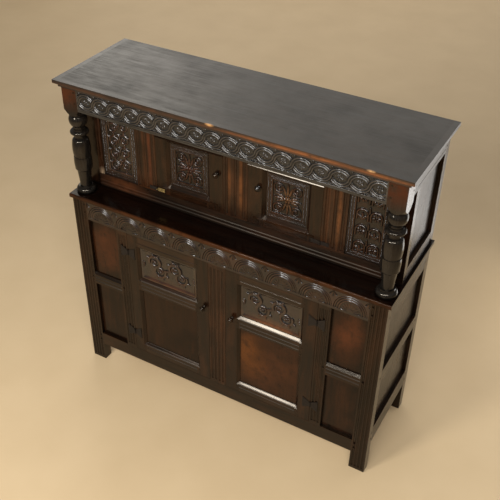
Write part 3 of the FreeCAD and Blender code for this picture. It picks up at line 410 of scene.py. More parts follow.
rib_share = 0.3
rib_width_share = 0.22
rib_fineness = 4
vein_fineness = 5
vein_start_share = 0.15
vein_run_share = 1.15
vein_slant_share = 0.18
petal_power = 2.4
leaf_power = 0.8
gouge_power = 0.6
fan_cuts = 3
fan_near = 2 * millimetre
fan_fall_share = 0.1
tip_share = 0.001
least_share = 1e-6


class Board:
    """Front of a carved board as a grid of depths below its face. A patch shares its board's grid."""

    def __init__(self, x, z, depth):
        self.x = x
        self.z = z
        self.depth = depth

    def patch(self, centre, reach):
        """The part of the board round a centre."""
        columns = np.flatnonzero(np.abs(self.x[0] - centre[0]) <= reach)
        rows = np.flatnonzero(np.abs(self.z[:, 0] - centre[1]) <= reach)
        if not len(columns) or not len(rows):
            return Board(self.x[:0], self.z[:0], self.depth[:0])
        place = (slice(rows[0], rows[-1] + 1), slice(columns[0], columns[-1] + 1))
        return Board(self.x[place], self.z[place], self.depth[place])

    def polar(self, centre):
        """Distance and angle of each point about a centre."""
        x = self.x - centre[0]
        z = self.z - centre[1]
        return np.hypot(x, z), np.arctan2(z, x)

    def along(self, start, end):
        """Share along a line, and distance across it."""
        line = np.subtract(end, start)
        length = np.hypot(*line)
        unit = line / length
        x = self.x - start[0]
        z = self.z - start[1]
        return (x * unit[0] + z * unit[1]) / length, z * unit[0] - x * unit[1]

    def path(self, points):
        """Distance to a run of points."""
        nearest = np.full(self.x.shape, np.inf)
        for start, end in zip(points[:-1], points[1:]):
            line = np.subtract(end, start)
            x = self.x - start[0]
            z = self.z - start[1]
            share = np.clip((x * line[0] + z * line[1]) / np.dot(line, line), 0, 1)
            nearest = np.minimum(nearest, np.hypot(x - share * line[0], z - share * line[1]))
        return nearest

    def rectangle(self, x_span, z_span):
        """Signed distance to a rectangle: below zero inside."""
        x_gap = np.maximum(x_span[0] - self.x, self.x - x_span[1])
        z_gap = np.maximum(z_span[0] - self.z, self.z - z_span[1])
        return np.maximum(x_gap, z_gap)

    def raise_to(self, form, inside):
        """Leaves a form standing where it is higher than the ground round it."""
        self.depth[...] = np.where(inside, np.minimum(self.depth, form), self.depth)

    def sink(self, inside, depth=ground_depth, slope=wall_slope):
        """Lowers the ground where inside is below zero, down a slope, and punches it all over."""
        share = np.clip(-inside / slope, 0, 1)
        ground = depth * share * share * (3 - 2 * share)
        ground = ground + punch_depth * random.random(self.x.shape) * (share == 1)
        self.depth[...] = np.maximum(self.depth, ground)

    def groove(self, gap, width=line_width, depth=line_depth, where=True):
        """Cuts a round gouge line along gap zero."""
        share = np.clip(1 - (2 * gap / width) ** 2, 0, 1)
        self.depth[...] += depth * share * where

    def reeds(self, gap, width, count, crest=reed_crest, where=True):
        """Leaves a band of round reeds along gap zero."""
        turn = (np.abs(gap) / width + 0.5) * count
        across = np.abs(2 * (turn - np.floor(turn)) - 1)
        form = crest + reed_rise_share * width / count / 2 * across ** 2
        inside = (np.abs(gap) < width / 2) & where
        self.depth[...] = np.where(inside, form, self.depth)

    def dome(self, centre, radius, low, high, eye=0):
        """Leaves a round boss, with a hollow eye if one is given."""
        distance, _ = self.polar(centre)
        share = np.clip(1 - (distance / radius) ** 2, 0, 1)
        self.raise_to(low - (low - high) * np.sqrt(share), distance < radius)
        if eye:
            self.groove(distance, 2 * eye, low - high)

    def rosette(self, centre, count, inner, outer, low, high, turn=0):
        """Leaves round petals about a boss, each with a gouge line down it."""
        distance, angle = self.polar(centre)
        phase = (angle - turn) / (2 * math.pi) * count
        across = 2 * np.abs(phase - np.round(phase))
        share = (distance - inner) / (outer - inner)
        half = np.sqrt(np.clip(1 - np.abs(2 * share - 1) ** petal_power, least_share, 1))
        fall = leaf_rise_share * distance * math.pi / count * across ** 2
        inside = (share > 0) & (share < 1) & (across < half)
        form = high + fall + rib_share * (low - high) * np.clip(1 - across / rib_width_share, 0, 1)
        self.raise_to(form, inside)
        self.dome(centre, inner, low, high)

    def leaf(self, start, end, width, low, high, veins):
        """Leaves a pointed leaf with a mid-rib groove and slanting veins."""
        share, across = self.along(start, end)
        held = np.clip(share, tip_share, 1 - tip_share)
        half = width / 2 * np.sin(np.pi * held ** leaf_power) ** leaf_power
        side = np.abs(across) / half
        fall = leaf_rise_share * half * side ** 2
        inside = (share > 0) & (share < 1) & (side < 1)
        slant = (share * vein_run_share - side * vein_slant_share) * veins
        vein = np.clip(1 - vein_fineness * np.abs(slant - np.round(slant)), 0, 1) * (side > vein_start_share)
        rib = np.clip(1 - side * rib_fineness, 0, 1)
        self.raise_to(high + fall + (low - high) * (rib_share * rib + rib_share * vein), inside)

    def gouge(self, start, end, width, depth):
        """One leaf-shaped gouge cut, blunt at its start."""
        share, across = self.along(start, end)
        bulge = np.sin(np.pi * np.clip(share, 0, 1) ** gouge_power)
        half = width / 2 * np.clip(bulge, least_share, 1) ** gouge_power
        cut = np.clip(1 - (across / half) ** 2, 0, 1) * ((share > 0) & (share < 1))
        self.depth[...] += depth * cut

    def fan(self, root, angle, spread, far, width, depth):
        """Gouge cuts that spread from a root."""
        patch = self.patch(root, far + width)
        for i in range(fan_cuts):
            step = i - (fan_cuts - 1) / 2
            lean = math.radians(angle + spread * step)
            start = offset(root, fan_near, lean)
            end = offset(root, far * (1 - fan_fall_share * abs(step)), lean)
            patch.gouge(end, start, width, depth)

    def punches(self, spans, width, pitch, size):
        """A row of square punches between two lines, all round inside a rectangle."""
        x_span, z_span = spans
        outer = self.rectangle(x_span, z_span)
        for inset in (0, width):
            self.groove(outer + inset, border_line_width, border_line_depth)
        on_ends = (self.z > z_span[1] - width) | (self.z < z_span[0] + width)
        run = np.where(on_ends, self.x - sum(x_span) / 2, self.z - sum(z_span) / 2) / pitch
        along = np.abs(run - np.round(run)) * pitch
        across = np.abs(outer + width / 2)
        pit = np.clip((size / 2 - np.maximum(along, across)) / pit_slope, 0, 1)
        self.depth[...] += pit_depth * pit * ((outer < 0) & (outer > -width))


def offset(centre, reach, angle):
    """The point at some reach from a centre, at an angle in radians."""
    return centre[0] + reach * math.cos(angle), centre[1] + reach * math.sin(angle)


def drawn_in(spans, inset):
    """Spans that are shorter by an inset at each end."""
    return tuple((span[0] + inset, span[1] - inset) for span in spans)


def new_board(spans, cell):
    """Uncarved board."""
    across, up = (round((span[1] - span[0]) / cell) for span in spans)
    x, z = np.meshgrid(np.linspace(*spans[0], across + 1), np.linspace(*spans[1], up + 1))
    return Board(x, z, np.zeros_like(x))


def arc_points(centre, radius, start, end, steps=16):
    """Points of an arc between two angles in degrees."""
    return [offset(centre, radius, angle) for angle in np.radians(np.linspace(start, end, steps + 1))]


def scroll_points(centre, outer, inner, start, sweep, steps=36):
    """Points of a scroll that keeps its outer radius for a while and then curls in."""
    round_share = 0.35
    curl_share = 0.65
    points = []
    for i in range(steps + 1):
        share = i / steps
        radius = outer + (inner - outer) * max(0, share - round_share) / curl_share
        points.append(offset(centre, radius, math.radians(start + sweep * share)))
    return points


def blurred(values, reach):
    """Box average over a square of cells, twice: each round averages down the columns and turns the grid."""
    rounds = 4
    size = 2 * reach + 1
    for _ in range(rounds):
        padded = np.pad(values, ((reach, reach), (0, 0)), mode="edge")
        sums = np.insert(np.cumsum(padded, axis=0), 0, 0, axis=0)
        values = ((sums[size:] - sums[:-size]) / size).T
    return values


blur_cells = 5
relief_range = 2.4 * millimetre
level_share = 0.5
steep_share = 2.2
box_faces = ((0, 1, 3, 2), (4, 6, 7, 5), (0, 4, 5, 1), (2, 3, 7, 6), (0, 2, 6, 4), (1, 5, 7, 3))


def board_shell(board, face, back):
    """Points of a closed board, the faces of its carved front, and those of its rim and flat back."""
    rows, columns = board.x.shape
    base = rows * columns
    front = np.stack([board.x, face + board.depth, board.z], axis=-1).reshape(-1, 3)
    index = np.arange(base).reshape(rows, columns)
    quads = np.stack([index[:-1, :-1], index[:-1, 1:], index[1:, 1:], index[1:, :-1]], axis=-1).reshape(-1, 4)
    rim = np.concatenate([index[0, :-1], index[:-1, -1], index[-1, :0:-1], index[:0:-1, 0]])
    ring = base + np.arange(len(rim))
    sides = np.stack([rim, ring, np.roll(ring, -1), np.roll(rim, -1)], axis=-1)
    rear = front[rim]
    rear[:, 1] = back
    return np.concatenate([front, rear]).tolist(), quads, sides.tolist() + [ring[::-1].tolist()]


def shade_front(mesh, board, quads):
    """Smooth shading on the carved front, except on its steep walls."""
    corners = board.depth.ravel()[quads]
    cell = board.x[0, 1] - board.x[0, 0]
    smooth = np.zeros(len(mesh.polygons), bool)
    smooth[:len(quads)] = np.ptp(corners, axis=1) < steep_share * cell
    mesh.polygons.foreach_set("use_smooth", smooth)


def mark_relief(mesh, board):
    """Stores how far each front point stands above or below what is round it."""
    height = blurred(board.depth, blur_cells) - board.depth
    others = len(mesh.vertices) - board.depth.size
    relief = np.concatenate([(level_share + height / relief_range).ravel(), np.full(others, level_share)])
    attribute = mesh.attributes.new("relief", "FLOAT", "POINT")
    attribute.data.foreach_set("value", np.clip(relief, 0, 1).astype(np.float32))


def take_place(piece, node):
    """The piece rides on the node's body and stands in its place."""
    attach(piece, body_nodes[node])
    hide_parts(node)


def dress_board(node, name, board, material, tenons=()):
    """Carved board, with its tenons, in place of a CAD node."""
    low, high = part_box(node)
    points, quads, others = board_shell(board, low.y, high.y)
    faces = quads.tolist() + others
    for near, far in tenons:
        start = len(points)
        points += [(x, y, z) for x in (near[0], far[0]) for y in (near[1], far[1]) for z in (near[2], far[2])]
        faces += [[start + i for i in corners] for corners in box_faces]
    mesh = bpy.data.meshes.new(name)
    mesh.from_pydata(points, [], faces)
    shade_front(mesh, board, quads)
    mark_relief(mesh, board)
    mesh.materials.append(material)
    take_place(placed(name, mesh), node)


def node_spans(node):
    """(x span, z span) of a node's box."""
    low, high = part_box(node)
    return (low.x, high.x), (low.z, high.z)


def end_tenons(node, shoulder):
    """Boxes of the tenons at both ends of a rail, past its shoulders."""
    low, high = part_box(node)
    third = (high.y - low.y) / 3
    haunch = (high.z - low.z) / 8
    lap = 1 * millimetre
    return [
        ((x[0], low.y + third, low.z + haunch), (x[1], high.y - third, high.z - haunch))
        for x in ((low.x, lap - shoulder), (shoulder - lap, high.x))
    ]


def leaf_at(board, centre, angle, near, far, width, veins, low=ground_depth, crest=leaf_crest):
    """A leaf that points away from a centre, at an angle in degrees."""
    patch = board.patch(centre, far + width)
    turn = math.radians(angle)
    patch.leaf(offset(centre, near, turn), offset(centre, far, turn), width, low, crest, veins)


def three_leaves(board, root, angle, spread, *sizes, **looks):
    """Three leaves that spread from a root."""
    for lean in (-spread, 0, spread):
        leaf_at(board, root, angle + lean, *sizes, **looks)


def scroll(board, centre, start, sweep, outer, inner, stem, petals, low=ground_depth):
    """One curling stem, with a flower at its heart if it has petals."""
    boss_share = 0.36
    clear_share = 0.3
    patch = board.patch(centre, outer + stem)
    gap = patch.path(scroll_points(centre, outer, inner, start, sweep))
    patch.reeds(gap, stem, count=1, crest=low_reed_crest)
    if petals:
        patch.rosette(centre, petals, inner * boss_share, inner - stem * clear_share, low, petal_crest)


rail_shoulder = 0.632


def frieze():
    """Running guilloche of two reeded bands that cross, with a small flower in each round."""
    node = "carved_frieze"
    cell = 0.8 * millimetre
    middle_z = 1.350
    first = -0.5895
    pitch = 70.2 * millimetre
    count = 18
    swing = 27 * millimetre
    swing_power = 0.55
    run_share = 1.3
    run_points = 131
    band = 17 * millimetre
    crossing_share = 0.2
    over_share = 0.55
    field_end = 0.627
    low_edge, high_edge = 1.3155, 1.3895
    board = new_board(((-rail_shoulder, rail_shoulder), node_spans(node)[1]), cell)
    field = board.rectangle((-field_end, field_end), (low_edge, high_edge))
    board.sink(field)
    folded = Board((board.x - first + pitch) % (2 * pitch) - pitch, board.z, board.depth)
    steps = np.linspace(-run_share, run_share, run_points)
    level = np.cos(np.pi * steps)
    swings = swing * np.sign(level) * np.abs(level) ** swing_power
    waves = [folded.path([(s * pitch, middle_z + sign * h) for s, h in zip(steps, swings)])
             for sign in (1, -1)]
    aside = np.minimum(np.abs(folded.x - pitch / 2), np.abs(folded.x + pitch / 2))
    for number in (0, 1):
        gap, other = waves[number], waves[1 - number]
        over = (folded.x > 0) if number else (folded.x <= 0)
        hidden = (aside < crossing_share * pitch) & ~over & (other < over_share * band)
        board.reeds(gap, band, count=2, where=~hidden & (field < 0))
    frieze_flowers(board, (first, middle_z), pitch, count)
    frieze_fans(board, first, pitch, count + 1, (low_edge, high_edge))
    low_line_gap = 4 * millimetre
    high_line_gap = 3.5 * millimetre
    for level in (low_edge - low_line_gap, high_edge + high_line_gap):
        board.groove(board.z - level)
    dress_board(node, "frieze_carving", board, frieze_oak, end_tenons(node, rail_shoulder))


def frieze_flowers(board, first, pitch, count):
    """The flower in each round of the frieze."""
    petals = 6
    boss = 4 * millimetre
    reach = 12 * millimetre
    crest = 2.4 * millimetre
    turn = math.radians(30)
    for i in range(count):
        centre = (first[0] + pitch * i, first[1])
        board.patch(centre, pitch / 4).rosette(centre, petals, boss, reach, ground_depth, crest, turn)


def frieze_fans(board, first, pitch, count, edges):
    """Three leaves that spread from each edge of the frieze, between its rounds."""
    reach = 13 * millimetre
    width = 6.5 * millimetre
    crest = 1.6 * millimetre
    spread = 48
    for i in range(count):
        for side, edge_z in zip((-1, 1), edges):
            root = (first + pitch * (i - 0.5), edge_z)
            three_leaves(board, root, -90 * side, spread, 0, reach, width, veins=2, crest=crest)


def lunettes():
    """Row of fluted half-rounds under reeded arches."""
    node = "lower_carved_top_rail"
    cell = 0.9 * millimetre
    first = -0.560
    pitch = 140 * millimetre
    count = 9
    foot = 0.8225
    line_levels = (0.8165, 0.8195)
    board = new_board(((-rail_shoulder, rail_shoulder), node_spans(node)[1]), cell)
    for i in range(count):
        lunette(board, (first + pitch * i, foot))
    spandrel_z = 0.8985
    cut_turn = 36
    far = 28 * millimetre
    cut_width = 8 * millimetre
    cut_depth = 3 * millimetre
    for i in range(count + 1):
        root = (first + pitch * (i - 0.5), spandrel_z)
        board.fan(root, -90, cut_turn, far, cut_width, cut_depth)
    for level in line_levels:
        board.groove(board.z - level)
    dress_board(node, "lunette_carving", board, carved_oak_x, end_tenons(node, rail_shoulder))


def lunette(board, centre):
    """One half-round: a reeded arch over flutes that spread from its eye."""
    half_width = 67 * millimetre
    height = 73 * millimetre
    reach = 84 * millimetre
    scale = (half_width + height) / 2
    reeds = 3
    flutes = 9
    flute_depth = 1.7 * millimetre
    rim_depth = 2.8 * millimetre
    eye_width = 3 * millimetre
    eye_depth = 1 * millimetre
    band_share, band_middle_share = 0.40, 0.80
    inner_share, fall_start_share, eye_share, end_share = 0.60, 0.40, 0.20, 0.12
    patch = board.patch(centre, reach)
    x_share = (patch.x - centre[0]) / half_width
    z_share = (patch.z - centre[1]) / height
    radius = np.hypot(x_share, z_share)
    angle = np.arctan2(z_share, x_share)
    above = patch.z > centre[1]
    gap = (radius - band_middle_share) * scale
    patch.reeds(gap, band_share * scale, reeds, low_reed_crest, above & (radius < 1))
    turn = angle / math.pi * flutes
    across = np.abs(turn - np.floor(turn) - 0.5) * 2
    inside = above & (radius < inner_share) & (radius > eye_share)
    out_end = np.clip((inner_share - radius) / end_share, 0, 1)
    in_end = np.clip((radius - eye_share) / end_share, 0, 1)
    fall = rim_depth * np.clip((radius - fall_start_share) / (inner_share - fall_start_share), 0, 1)
    form = fall + flute_depth * (1 - across ** 2) * np.sqrt(out_end * in_end)
    patch.depth[...] = np.where(inside, form, patch.depth)
    patch.groove((radius - eye_share) * scale, eye_width, eye_depth, above)


vine_flowers = {
    "left": (((-0.312, 0.700), (-0.286, 0.659)), ((-0.212, 0.695), (-0.181, 0.662))),
    "right": (((0.163, 0.703), (0.198, 0.662)), ((0.268, 0.700), (0.302, 0.660))),
}


def vine(side_name):
    """Running vine: each turn curls over an upper flower and under a lower one."""
    node = f"lower_{side_name}_door_carved_panel"
    cell = 0.7 * millimetre
    ground = 5 * millimetre
    side_margin = 8 * millimetre
    foot_margin = 10 * millimetre
    margin_slope = 16 * millimetre
    x_span, z_span = node_spans(node)
    board = new_board((x_span, z_span), cell)
    field = board.rectangle((x_span[0] + side_margin, x_span[1] - side_margin),
                            (z_span[0] + foot_margin, z_span[1] - side_margin))
    board.sink(field, ground, margin_slope)
    radius = 27 * millimetre
    stem = 10 * millimetre
    curl = 7.5 * millimetre
    heart = 12 * millimetre
    petals = 5
    leaf_near = 2 * millimetre
    leaf_length = 17 * millimetre
    leaf_width = 10 * millimetre
    sweep = -420
    upper_turn = (200, (155, 110, 65))
    lower_turn = (20, (-25, -70, -115))
    upper_arc = (200, -22)
    lower_arc = (158, 385)
    next_arc = (215, 195, 3)
    flowers = vine_flowers[side_name]
    for number, (upper, lower) in enumerate(flowers):
        for centre, (start, spread) in ((upper, upper_turn), (lower, lower_turn)):
            for angle in spread:
                leaf_at(board, centre, angle, radius + leaf_near, radius + leaf_length, leaf_width,
                        veins=2, low=ground)
            scroll(board, centre, start, sweep, radius, heart, curl, petals, low=ground)
        run = arc_points(upper, radius, *upper_arc) + arc_points(lower, radius, *lower_arc)
        if number + 1 < len(flowers):
            run += arc_points(flowers[number + 1][0], radius, *next_arc)
        board.reeds(board.path(run), stem, count=3)
    tip_inset = 26 * millimetre
    tip_length = 24 * millimetre
    tip_spread = 50
    middle_z = sum(z_span) / 2
    for x, angle in ((x_span[0] + tip_inset, 180), (x_span[1] - tip_inset, 360)):
        root = (x, middle_z)
        three_leaves(board, root, angle, tip_spread, leaf_near, tip_length, leaf_width, veins=2, low=ground)
    dress_board(node, f"vine_carving_{side_name}", board, waxed_oak_z)


panel_tongue = 9 * millimetre


# By panel, in millimetres: inset and pitch of each row of punches, width of a row and size of a punch
punch_borders = {
    "door": (((1, 6.4), (11.5, 5.2)), 9.5, 3.6),
    "left": (((1, 5.6), (12, 5.6)), 10, 3.8),
    "right": (((1, 5.6), (11, 5.6)), 9, 3.6),
}


def bordered_board(node, cell, border_name):
    """Board with rows of punches round it, and the spans inside its tongue."""
    rows, width, size = punch_borders[border_name]
    spans = node_spans(node)
    board = new_board(spans, cell)
    inner = drawn_in(spans, panel_tongue)
    for inset, pitch in rows:
        row_spans = drawn_in(inner, inset * millimetre)
        board.punches(row_spans, width * millimetre, pitch * millimetre, size * millimetre)
    return board, inner


def door_panel(side_name):
    """Flower with four corner scrolls in a border of punches."""
    node = f"upper_{side_name}_door_carved_panel"
    cell = 0.9 * millimetre
    border = 23 * millimetre
    board, inner = bordered_board(node, cell, "door")
    square = drawn_in(inner, border)
    board.sink(board.rectangle(*square))
    middle = tuple(sum(span) / 2 for span in square)
    halves = tuple((span[1] - span[0]) / 2 for span in square)
    corner = 20 * millimetre
    corner_gap = 5 * millimetre
    corner_stem = 6.4 * millimetre
    corner_sweep = 430
    heart = 7 * millimetre
    eye_share = 0.3
    for x_side in (-1, 1):
        for z_side in (-1, 1):
            centre = (middle[0] + x_side * (halves[0] - corner - corner_gap),
                      middle[1] + z_side * (halves[1] - corner - corner_gap))
            inwards = math.degrees(math.atan2(-z_side, -x_side))
            sweep = x_side * z_side * corner_sweep
            scroll(board, centre, inwards, sweep, corner, heart, corner_stem, petals=0)
            board.patch(centre, corner).dome(centre, heart, ground_depth, 0, eye_share * heart)
    flower = 15 * millimetre
    petals = 6
    leaf_width = 11 * millimetre
    leaf_spread = 20
    short_cut = 10 * millimetre
    for k in range(4):
        for lean, cut in ((-leaf_spread, short_cut), (0, 0), (leaf_spread, short_cut)):
            leaf_at(board, middle, 90 * k + lean, flower, halves[k % 2] - cut, leaf_width, veins=3)
    board.patch(middle, flower).rosette(middle, petals, heart, flower, ground_depth, petal_crest)
    dress_board(node, f"flower_carving_{side_name}", board, carved_oak_z)


def recess_left():
    """Tall panel: two columns of scrolled flowers under an arch, in a border of punches."""
    node = "recess_carved_panel_left"
    cell = 1 * millimetre
    border = 23 * millimetre
    board, (x_in, z_in) = bordered_board(node, cell, "left")
    middle_x = sum(node_spans(node)[0]) / 2
    radius = (x_in[1] - x_in[0]) / 2 - border
    spring = z_in[1] - border - radius
    foot = z_in[0] + border
    distance, _ = board.polar((middle_x, spring))
    gap = np.where(board.z > spring, distance, np.abs(board.x - middle_x)) - radius
    field = np.maximum(gap, foot - board.z)
    frame_band = 6 * millimetre
    board.sink(field)
    board.reeds(field + frame_band / 2, frame_band, count=1)
    scroll_radius = 22 * millimetre
    stem = 7 * millimetre
    heart = 10 * millimetre
    petals = 6
    sweep = 400
    column = 25 * millimetre
    step = 58 * millimetre
    shift_share = 0.28
    fit_share = 0.8
    leaf_near = 2 * millimetre
    leaf_length = 17 * millimetre
    leaf_width = 11 * millimetre
    leaf_turn = 60
    lift = foot + frame_band + scroll_radius
    rows = 4
    for row in range(rows):
        for side in (-1, 1):
            z = lift + step * row + (step * shift_share if side > 0 else 0)
            if z > spring + radius - fit_share * scroll_radius:
                continue
            centre = (middle_x + side * column, z)
            for angle in (90, 90 - side * leaf_turn, 90 + side * leaf_turn, -90):
                leaf_at(board, centre, angle, scroll_radius + leaf_near, scroll_radius + leaf_length,
                        leaf_width, veins=2)
            scroll(board, centre, 90 + side * 90, -side * sweep, scroll_radius, heart, stem, petals)
    corner_inset = 5 * millimetre
    corner_x = radius - corner_inset
    corner_turn = 42
    cut_turn = 30
    cut_reach = 24 * millimetre
    cut_width = 7 * millimetre
    cut_depth = 2.4 * millimetre
    for side in (-1, 1):
        root = (middle_x + side * corner_x, z_in[1] - border)
        board.fan(root, -90 - side * corner_turn, cut_turn, cut_reach, cut_width, cut_depth)
    dress_board(node, "scroll_carving_left", board, waxed_oak_z)


def recess_right():
    """Tall panel of small arches in two columns, in a border of punches."""
    node = "recess_carved_panel_right"
    cell = 1 * millimetre
    border = 22 * millimetre
    board, inner = bordered_board(node, cell, "right")
    board.sink(board.rectangle(*drawn_in(inner, border)))
    middle_x = sum(inner[0]) / 2
    radius = 21 * millimetre
    column = 26 * millimetre
    arch_band = 9 * millimetre
    leg = 24 * millimetre
    heart = 4.5 * millimetre
    petals = 7
    leaf_reach = 31 * millimetre
    leaf_width = 12 * millimetre
    leaf_spread = 44
    narrow_share = 0.8
    step = 69 * millimetre
    lift = inner[1][0] + border + leg
    rows = 4
    for row in range(rows):
        z = lift + step * row
        for side in (-1, 1):
            centre = (middle_x + side * column, z)
            patch = board.patch(centre, 2 * radius)
            distance, _ = patch.polar(centre)
            gap = np.where(patch.z > z, distance, np.abs(patch.x - centre[0])) - radius
            patch.reeds(gap, arch_band, count=1, where=patch.z > z - leg)
            if (row + (side > 0)) % 2:
                patch.rosette(centre, petals, heart, radius - arch_band / 2, ground_depth, reed_crest)
                continue
            root = (centre[0], z - radius)
            three_leaves(board, root, 90, leaf_spread, 0, leaf_reach, leaf_width, veins=3)
        root = (middle_x, z + radius / 3)
        leaf_at(board, root, 90, 0, leaf_reach, narrow_share * leaf_width, veins=3)
    dress_board(node, "arch_carving_right", board, carved_oak_z)


# Sections of the planted beads, as shares of how far they stand out and rise

rounded_shares = ((0, 0), (0.8, 0.1), (1, 0.4), (0.8, 0.8), (0, 1))
sloped_shares = ((0, 0), (1, 0.12), (1, 0.54), (0.5, 0.98), (0, 1))


def door_beads(side_name):
    """Run beads above and below an upper door's panel; the right door's upper one is sloped."""
    node = f"upper_{side_name}_door_bead"
    low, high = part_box(node)
    rise = 6 * millimetre
    inset = 24 * millimetre
    runs = (
        ((low.x, high.x), high.z - rise, sloped_shares if side_name == "right" else rounded_shares),
        ((low.x + inset, high.x - inset), low.z, rounded_shares),
    )
    points, faces = [], []
    for x_span, foot, shares in runs:
        start = len(points)
        for x in x_span:
            for out, lift in shares:
                points.append((x, high.y - out * (high.y - low.y), foot + lift * rise))
        size = len(shares)
        for i in range(size):
            j = (i + 1) % size
            faces.append((start + i, start + j, start + size + j, start + size + i))
        faces.append([start + i for i in reversed(range(size))])
        faces.append([start + size + i for i in range(size)])
    mesh = bpy.data.meshes.new(node)
    mesh.from_pydata(points, [], faces)
    mesh.materials.append(door_oak_x)
    take_place(placed(f"upper_{side_name}_door_beads", mesh), node)


# Carried-over nodes

rubbed_bevel = 0.9 * millimetre
weld_gap = 0.01 * millimetre
edge_angle = math.radians(35)


def soften(node):
    """Rubbed edges on a node, as modifiers."""
    weld = node.modifiers.new("weld", "WELD")
    weld.merge_threshold = weld_gap
    bevel = node.modifiers.new("bevel", "BEVEL")
    bevel.width = rubbed_bevel
    bevel.segments = 2
    bevel.limit_method = "ANGLE"
    bevel.angle_limit = edge_angle
    bevel.use_clamp_overlap = True


def dress_node(name, material):
    """Gives a carried-over node its material."""
    node = frame["nodes"][name]
    for slot in node.material_slots:
        slot.link = "OBJECT"
        slot.material = material
    return node


# Colours, from dark to light to worn, and the warm patches: centre, radii, colour and share

soot_brown = (0.0035, 0.002, 0.0012)
dark_brown = (0.013, 0.0056, 0.0022)
red_brown = (0.055, 0.017, 0.0055)
bright_red_brown = (0.075, 0.020, 0.006)
orange_brown = (0.13, 0.042, 0.011)
dry_oak = (0.20, 0.12, 0.07)
pale_oak = (0.33, 0.23, 0.14)

dark_colors = (soot_brown, dark_brown, red_brown)
door_colors = (soot_brown, (0.014, 0.0052, 0.002), red_brown)
worn_colors = ((0.006, 0.0026, 0.0014), (0.028, 0.0100, 0.0040), (0.08, 0.025, 0.007))
grey_colors = (soot_brown, (0.020, 0.014, 0.010), dark_brown)
moulding_colors = (soot_brown, (0.014, 0.008, 0.005), (0.030, 0.014, 0.007))
# The ledge's colours are a painted shade: far darker than the other oak, standing in for the shadow under the
# canopy
ledge_shade_colors = ((0.0022, 0.0009, 0.0005), (0.0055, 0.0018, 0.0008), (0.008, 0.0026, 0.001))
# The frieze's colours are its own dark oak with a painted grey sheen: greyer and lighter than the other oak
frieze_sheen_colors = ((0.006, 0.0055, 0.005), (0.030, 0.027, 0.022), (0.050, 0.036, 0.026))
column_colors = ((0.004, 0.0035, 0.003), (0.013, 0.0105, 0.008), dark_brown)
knob_colors = (soot_brown, soot_brown, dark_brown)
plain_colors = (dry_oak, pale_oak, pale_oak)
iron_colors = ((0.006, 0.004, 0.0025), (0.016, 0.010, 0.006))
brass_colors = ((0.16, 0.11, 0.04), (0.55, 0.40, 0.16))

low_face = -0.2035
high_face = -0.0855
skin = 8 * millimetre
panel_glows = (
    ((0.56, low_face, 0.68), (0.09, skin, 0.15), bright_red_brown, 0.80),
    ((-0.56, low_face, 0.68), (0.09, skin, 0.15), bright_red_brown, 0.80),
    ((0.24, low_face, 0.38), (0.22, skin, 0.26), red_brown, 0.8),
    ((0.14, low_face, 0.40), (0.10, skin, 0.16), (0.085, 0.026, 0.005), 0.9),
    ((-0.25, low_face, 0.40), (0.20, skin, 0.22), (0.016, 0.0065, 0.0025), 0.7),
)
carving_glows = (
    ((0.24, low_face, 0.61), (0.18, skin, 0.035), orange_brown, 0.9),
    ((-0.24, low_face, 0.61), (0.18, skin, 0.035), red_brown, 0.9),
    ((0.225, high_face, 1.125), (0.05, skin, 0.06), (0.10, 0.045, 0.015), 0.9),
    ((-0.205, high_face, 1.13), (0.05, skin, 0.05), (0.07, 0.020, 0.010), 0.6),
)
block_radii = (0.14, 0.2, 0.09)
block_glows = (
    ((0.666, -0.165, 1.375), block_radii, (0.034, 0.006, 0.0016), 1.0),
    ((-0.666, -0.165, 1.375), block_radii, (0.045, 0.011, 0.0035), 1.0),
)
strip_face = -0.0985
strip_middle = 1.14
strip_radii = (0.011, 0.1, 0.19)
strip_share = 0.6
strip_tints = (
    (-0.404, red_brown), (-0.378, (0.09, 0.020, 0.006)), (-0.015, orange_brown),
    (0.036, (0.16, 0.05, 0.012)), (0.394, red_brown), (0.438, orange_brown),
)
bare_spot = ((-0.622, strip_face, 0.985), (0.022, 0.1, 0.03), pale_oak, 0.9)
strip_glows = (*(((x, strip_face, strip_middle), strip_radii, tint, strip_share) for x, tint in strip_tints),
               bare_spot)
rail_glows = (((-0.52, -0.1, 0.95), (0.14, 0.1, 0.05), red_brown, 0.9),)
moulding_front = -0.2175
moulding_glows = (
    ((-0.10, moulding_front, 1.406), (1.2, 0.02, 0.020), red_brown, 1.0),
    ((0.42, moulding_front, 1.406), (0.60, 0.02, 0.020), (0.22, 0.065, 0.014), 1.0),
    ((-0.024, moulding_front, 1.424), (0.022, 0.008, 0.008), (0.60, 0.30, 0.10), 1.0),
    ((0.575, moulding_front, 1.424), (0.018, 0.006, 0.006), (0.55, 0.30, 0.12), 0.9),
    ((-0.330, 0.2350, 1.424), (0.014, 0.008, 0.008), (0.45, 0.25, 0.12), 0.9),
)
ledge_glows = (((0.0, -0.2225, 0.915), (1.4, 0.010, 0.02), (0.09, 0.028, 0.008), 0.5),)

# Dull patches: the chamfers' stops on the upper doors, and the lines along rails by height and reach

stop_places = ((-0.305, -0.09, 1.016), (0.125, -0.09, 1.016))
stop_radii = (0.024, 0.05, 0.022)
stop_dull = tuple((place, stop_radii) for place in stop_places)
door_lines = (
    (0.579, 0.0065), (0.5618, 0.004), (0.5429, 0.004), (0.2065, 0.006), (0.2215, 0.005), (0.1919, 0.004),
)
fixed_lines = ((0.4845, 0.006), (0.5034, 0.005))
line_face = -0.2
line_length = 1.5
line_thick = 0.3


def dull_lines(lines):
    """Dull patches along the whole front at some heights."""
    return tuple(((0.0, line_face, z), (line_length, line_thick, reach)) for z, reach in lines)


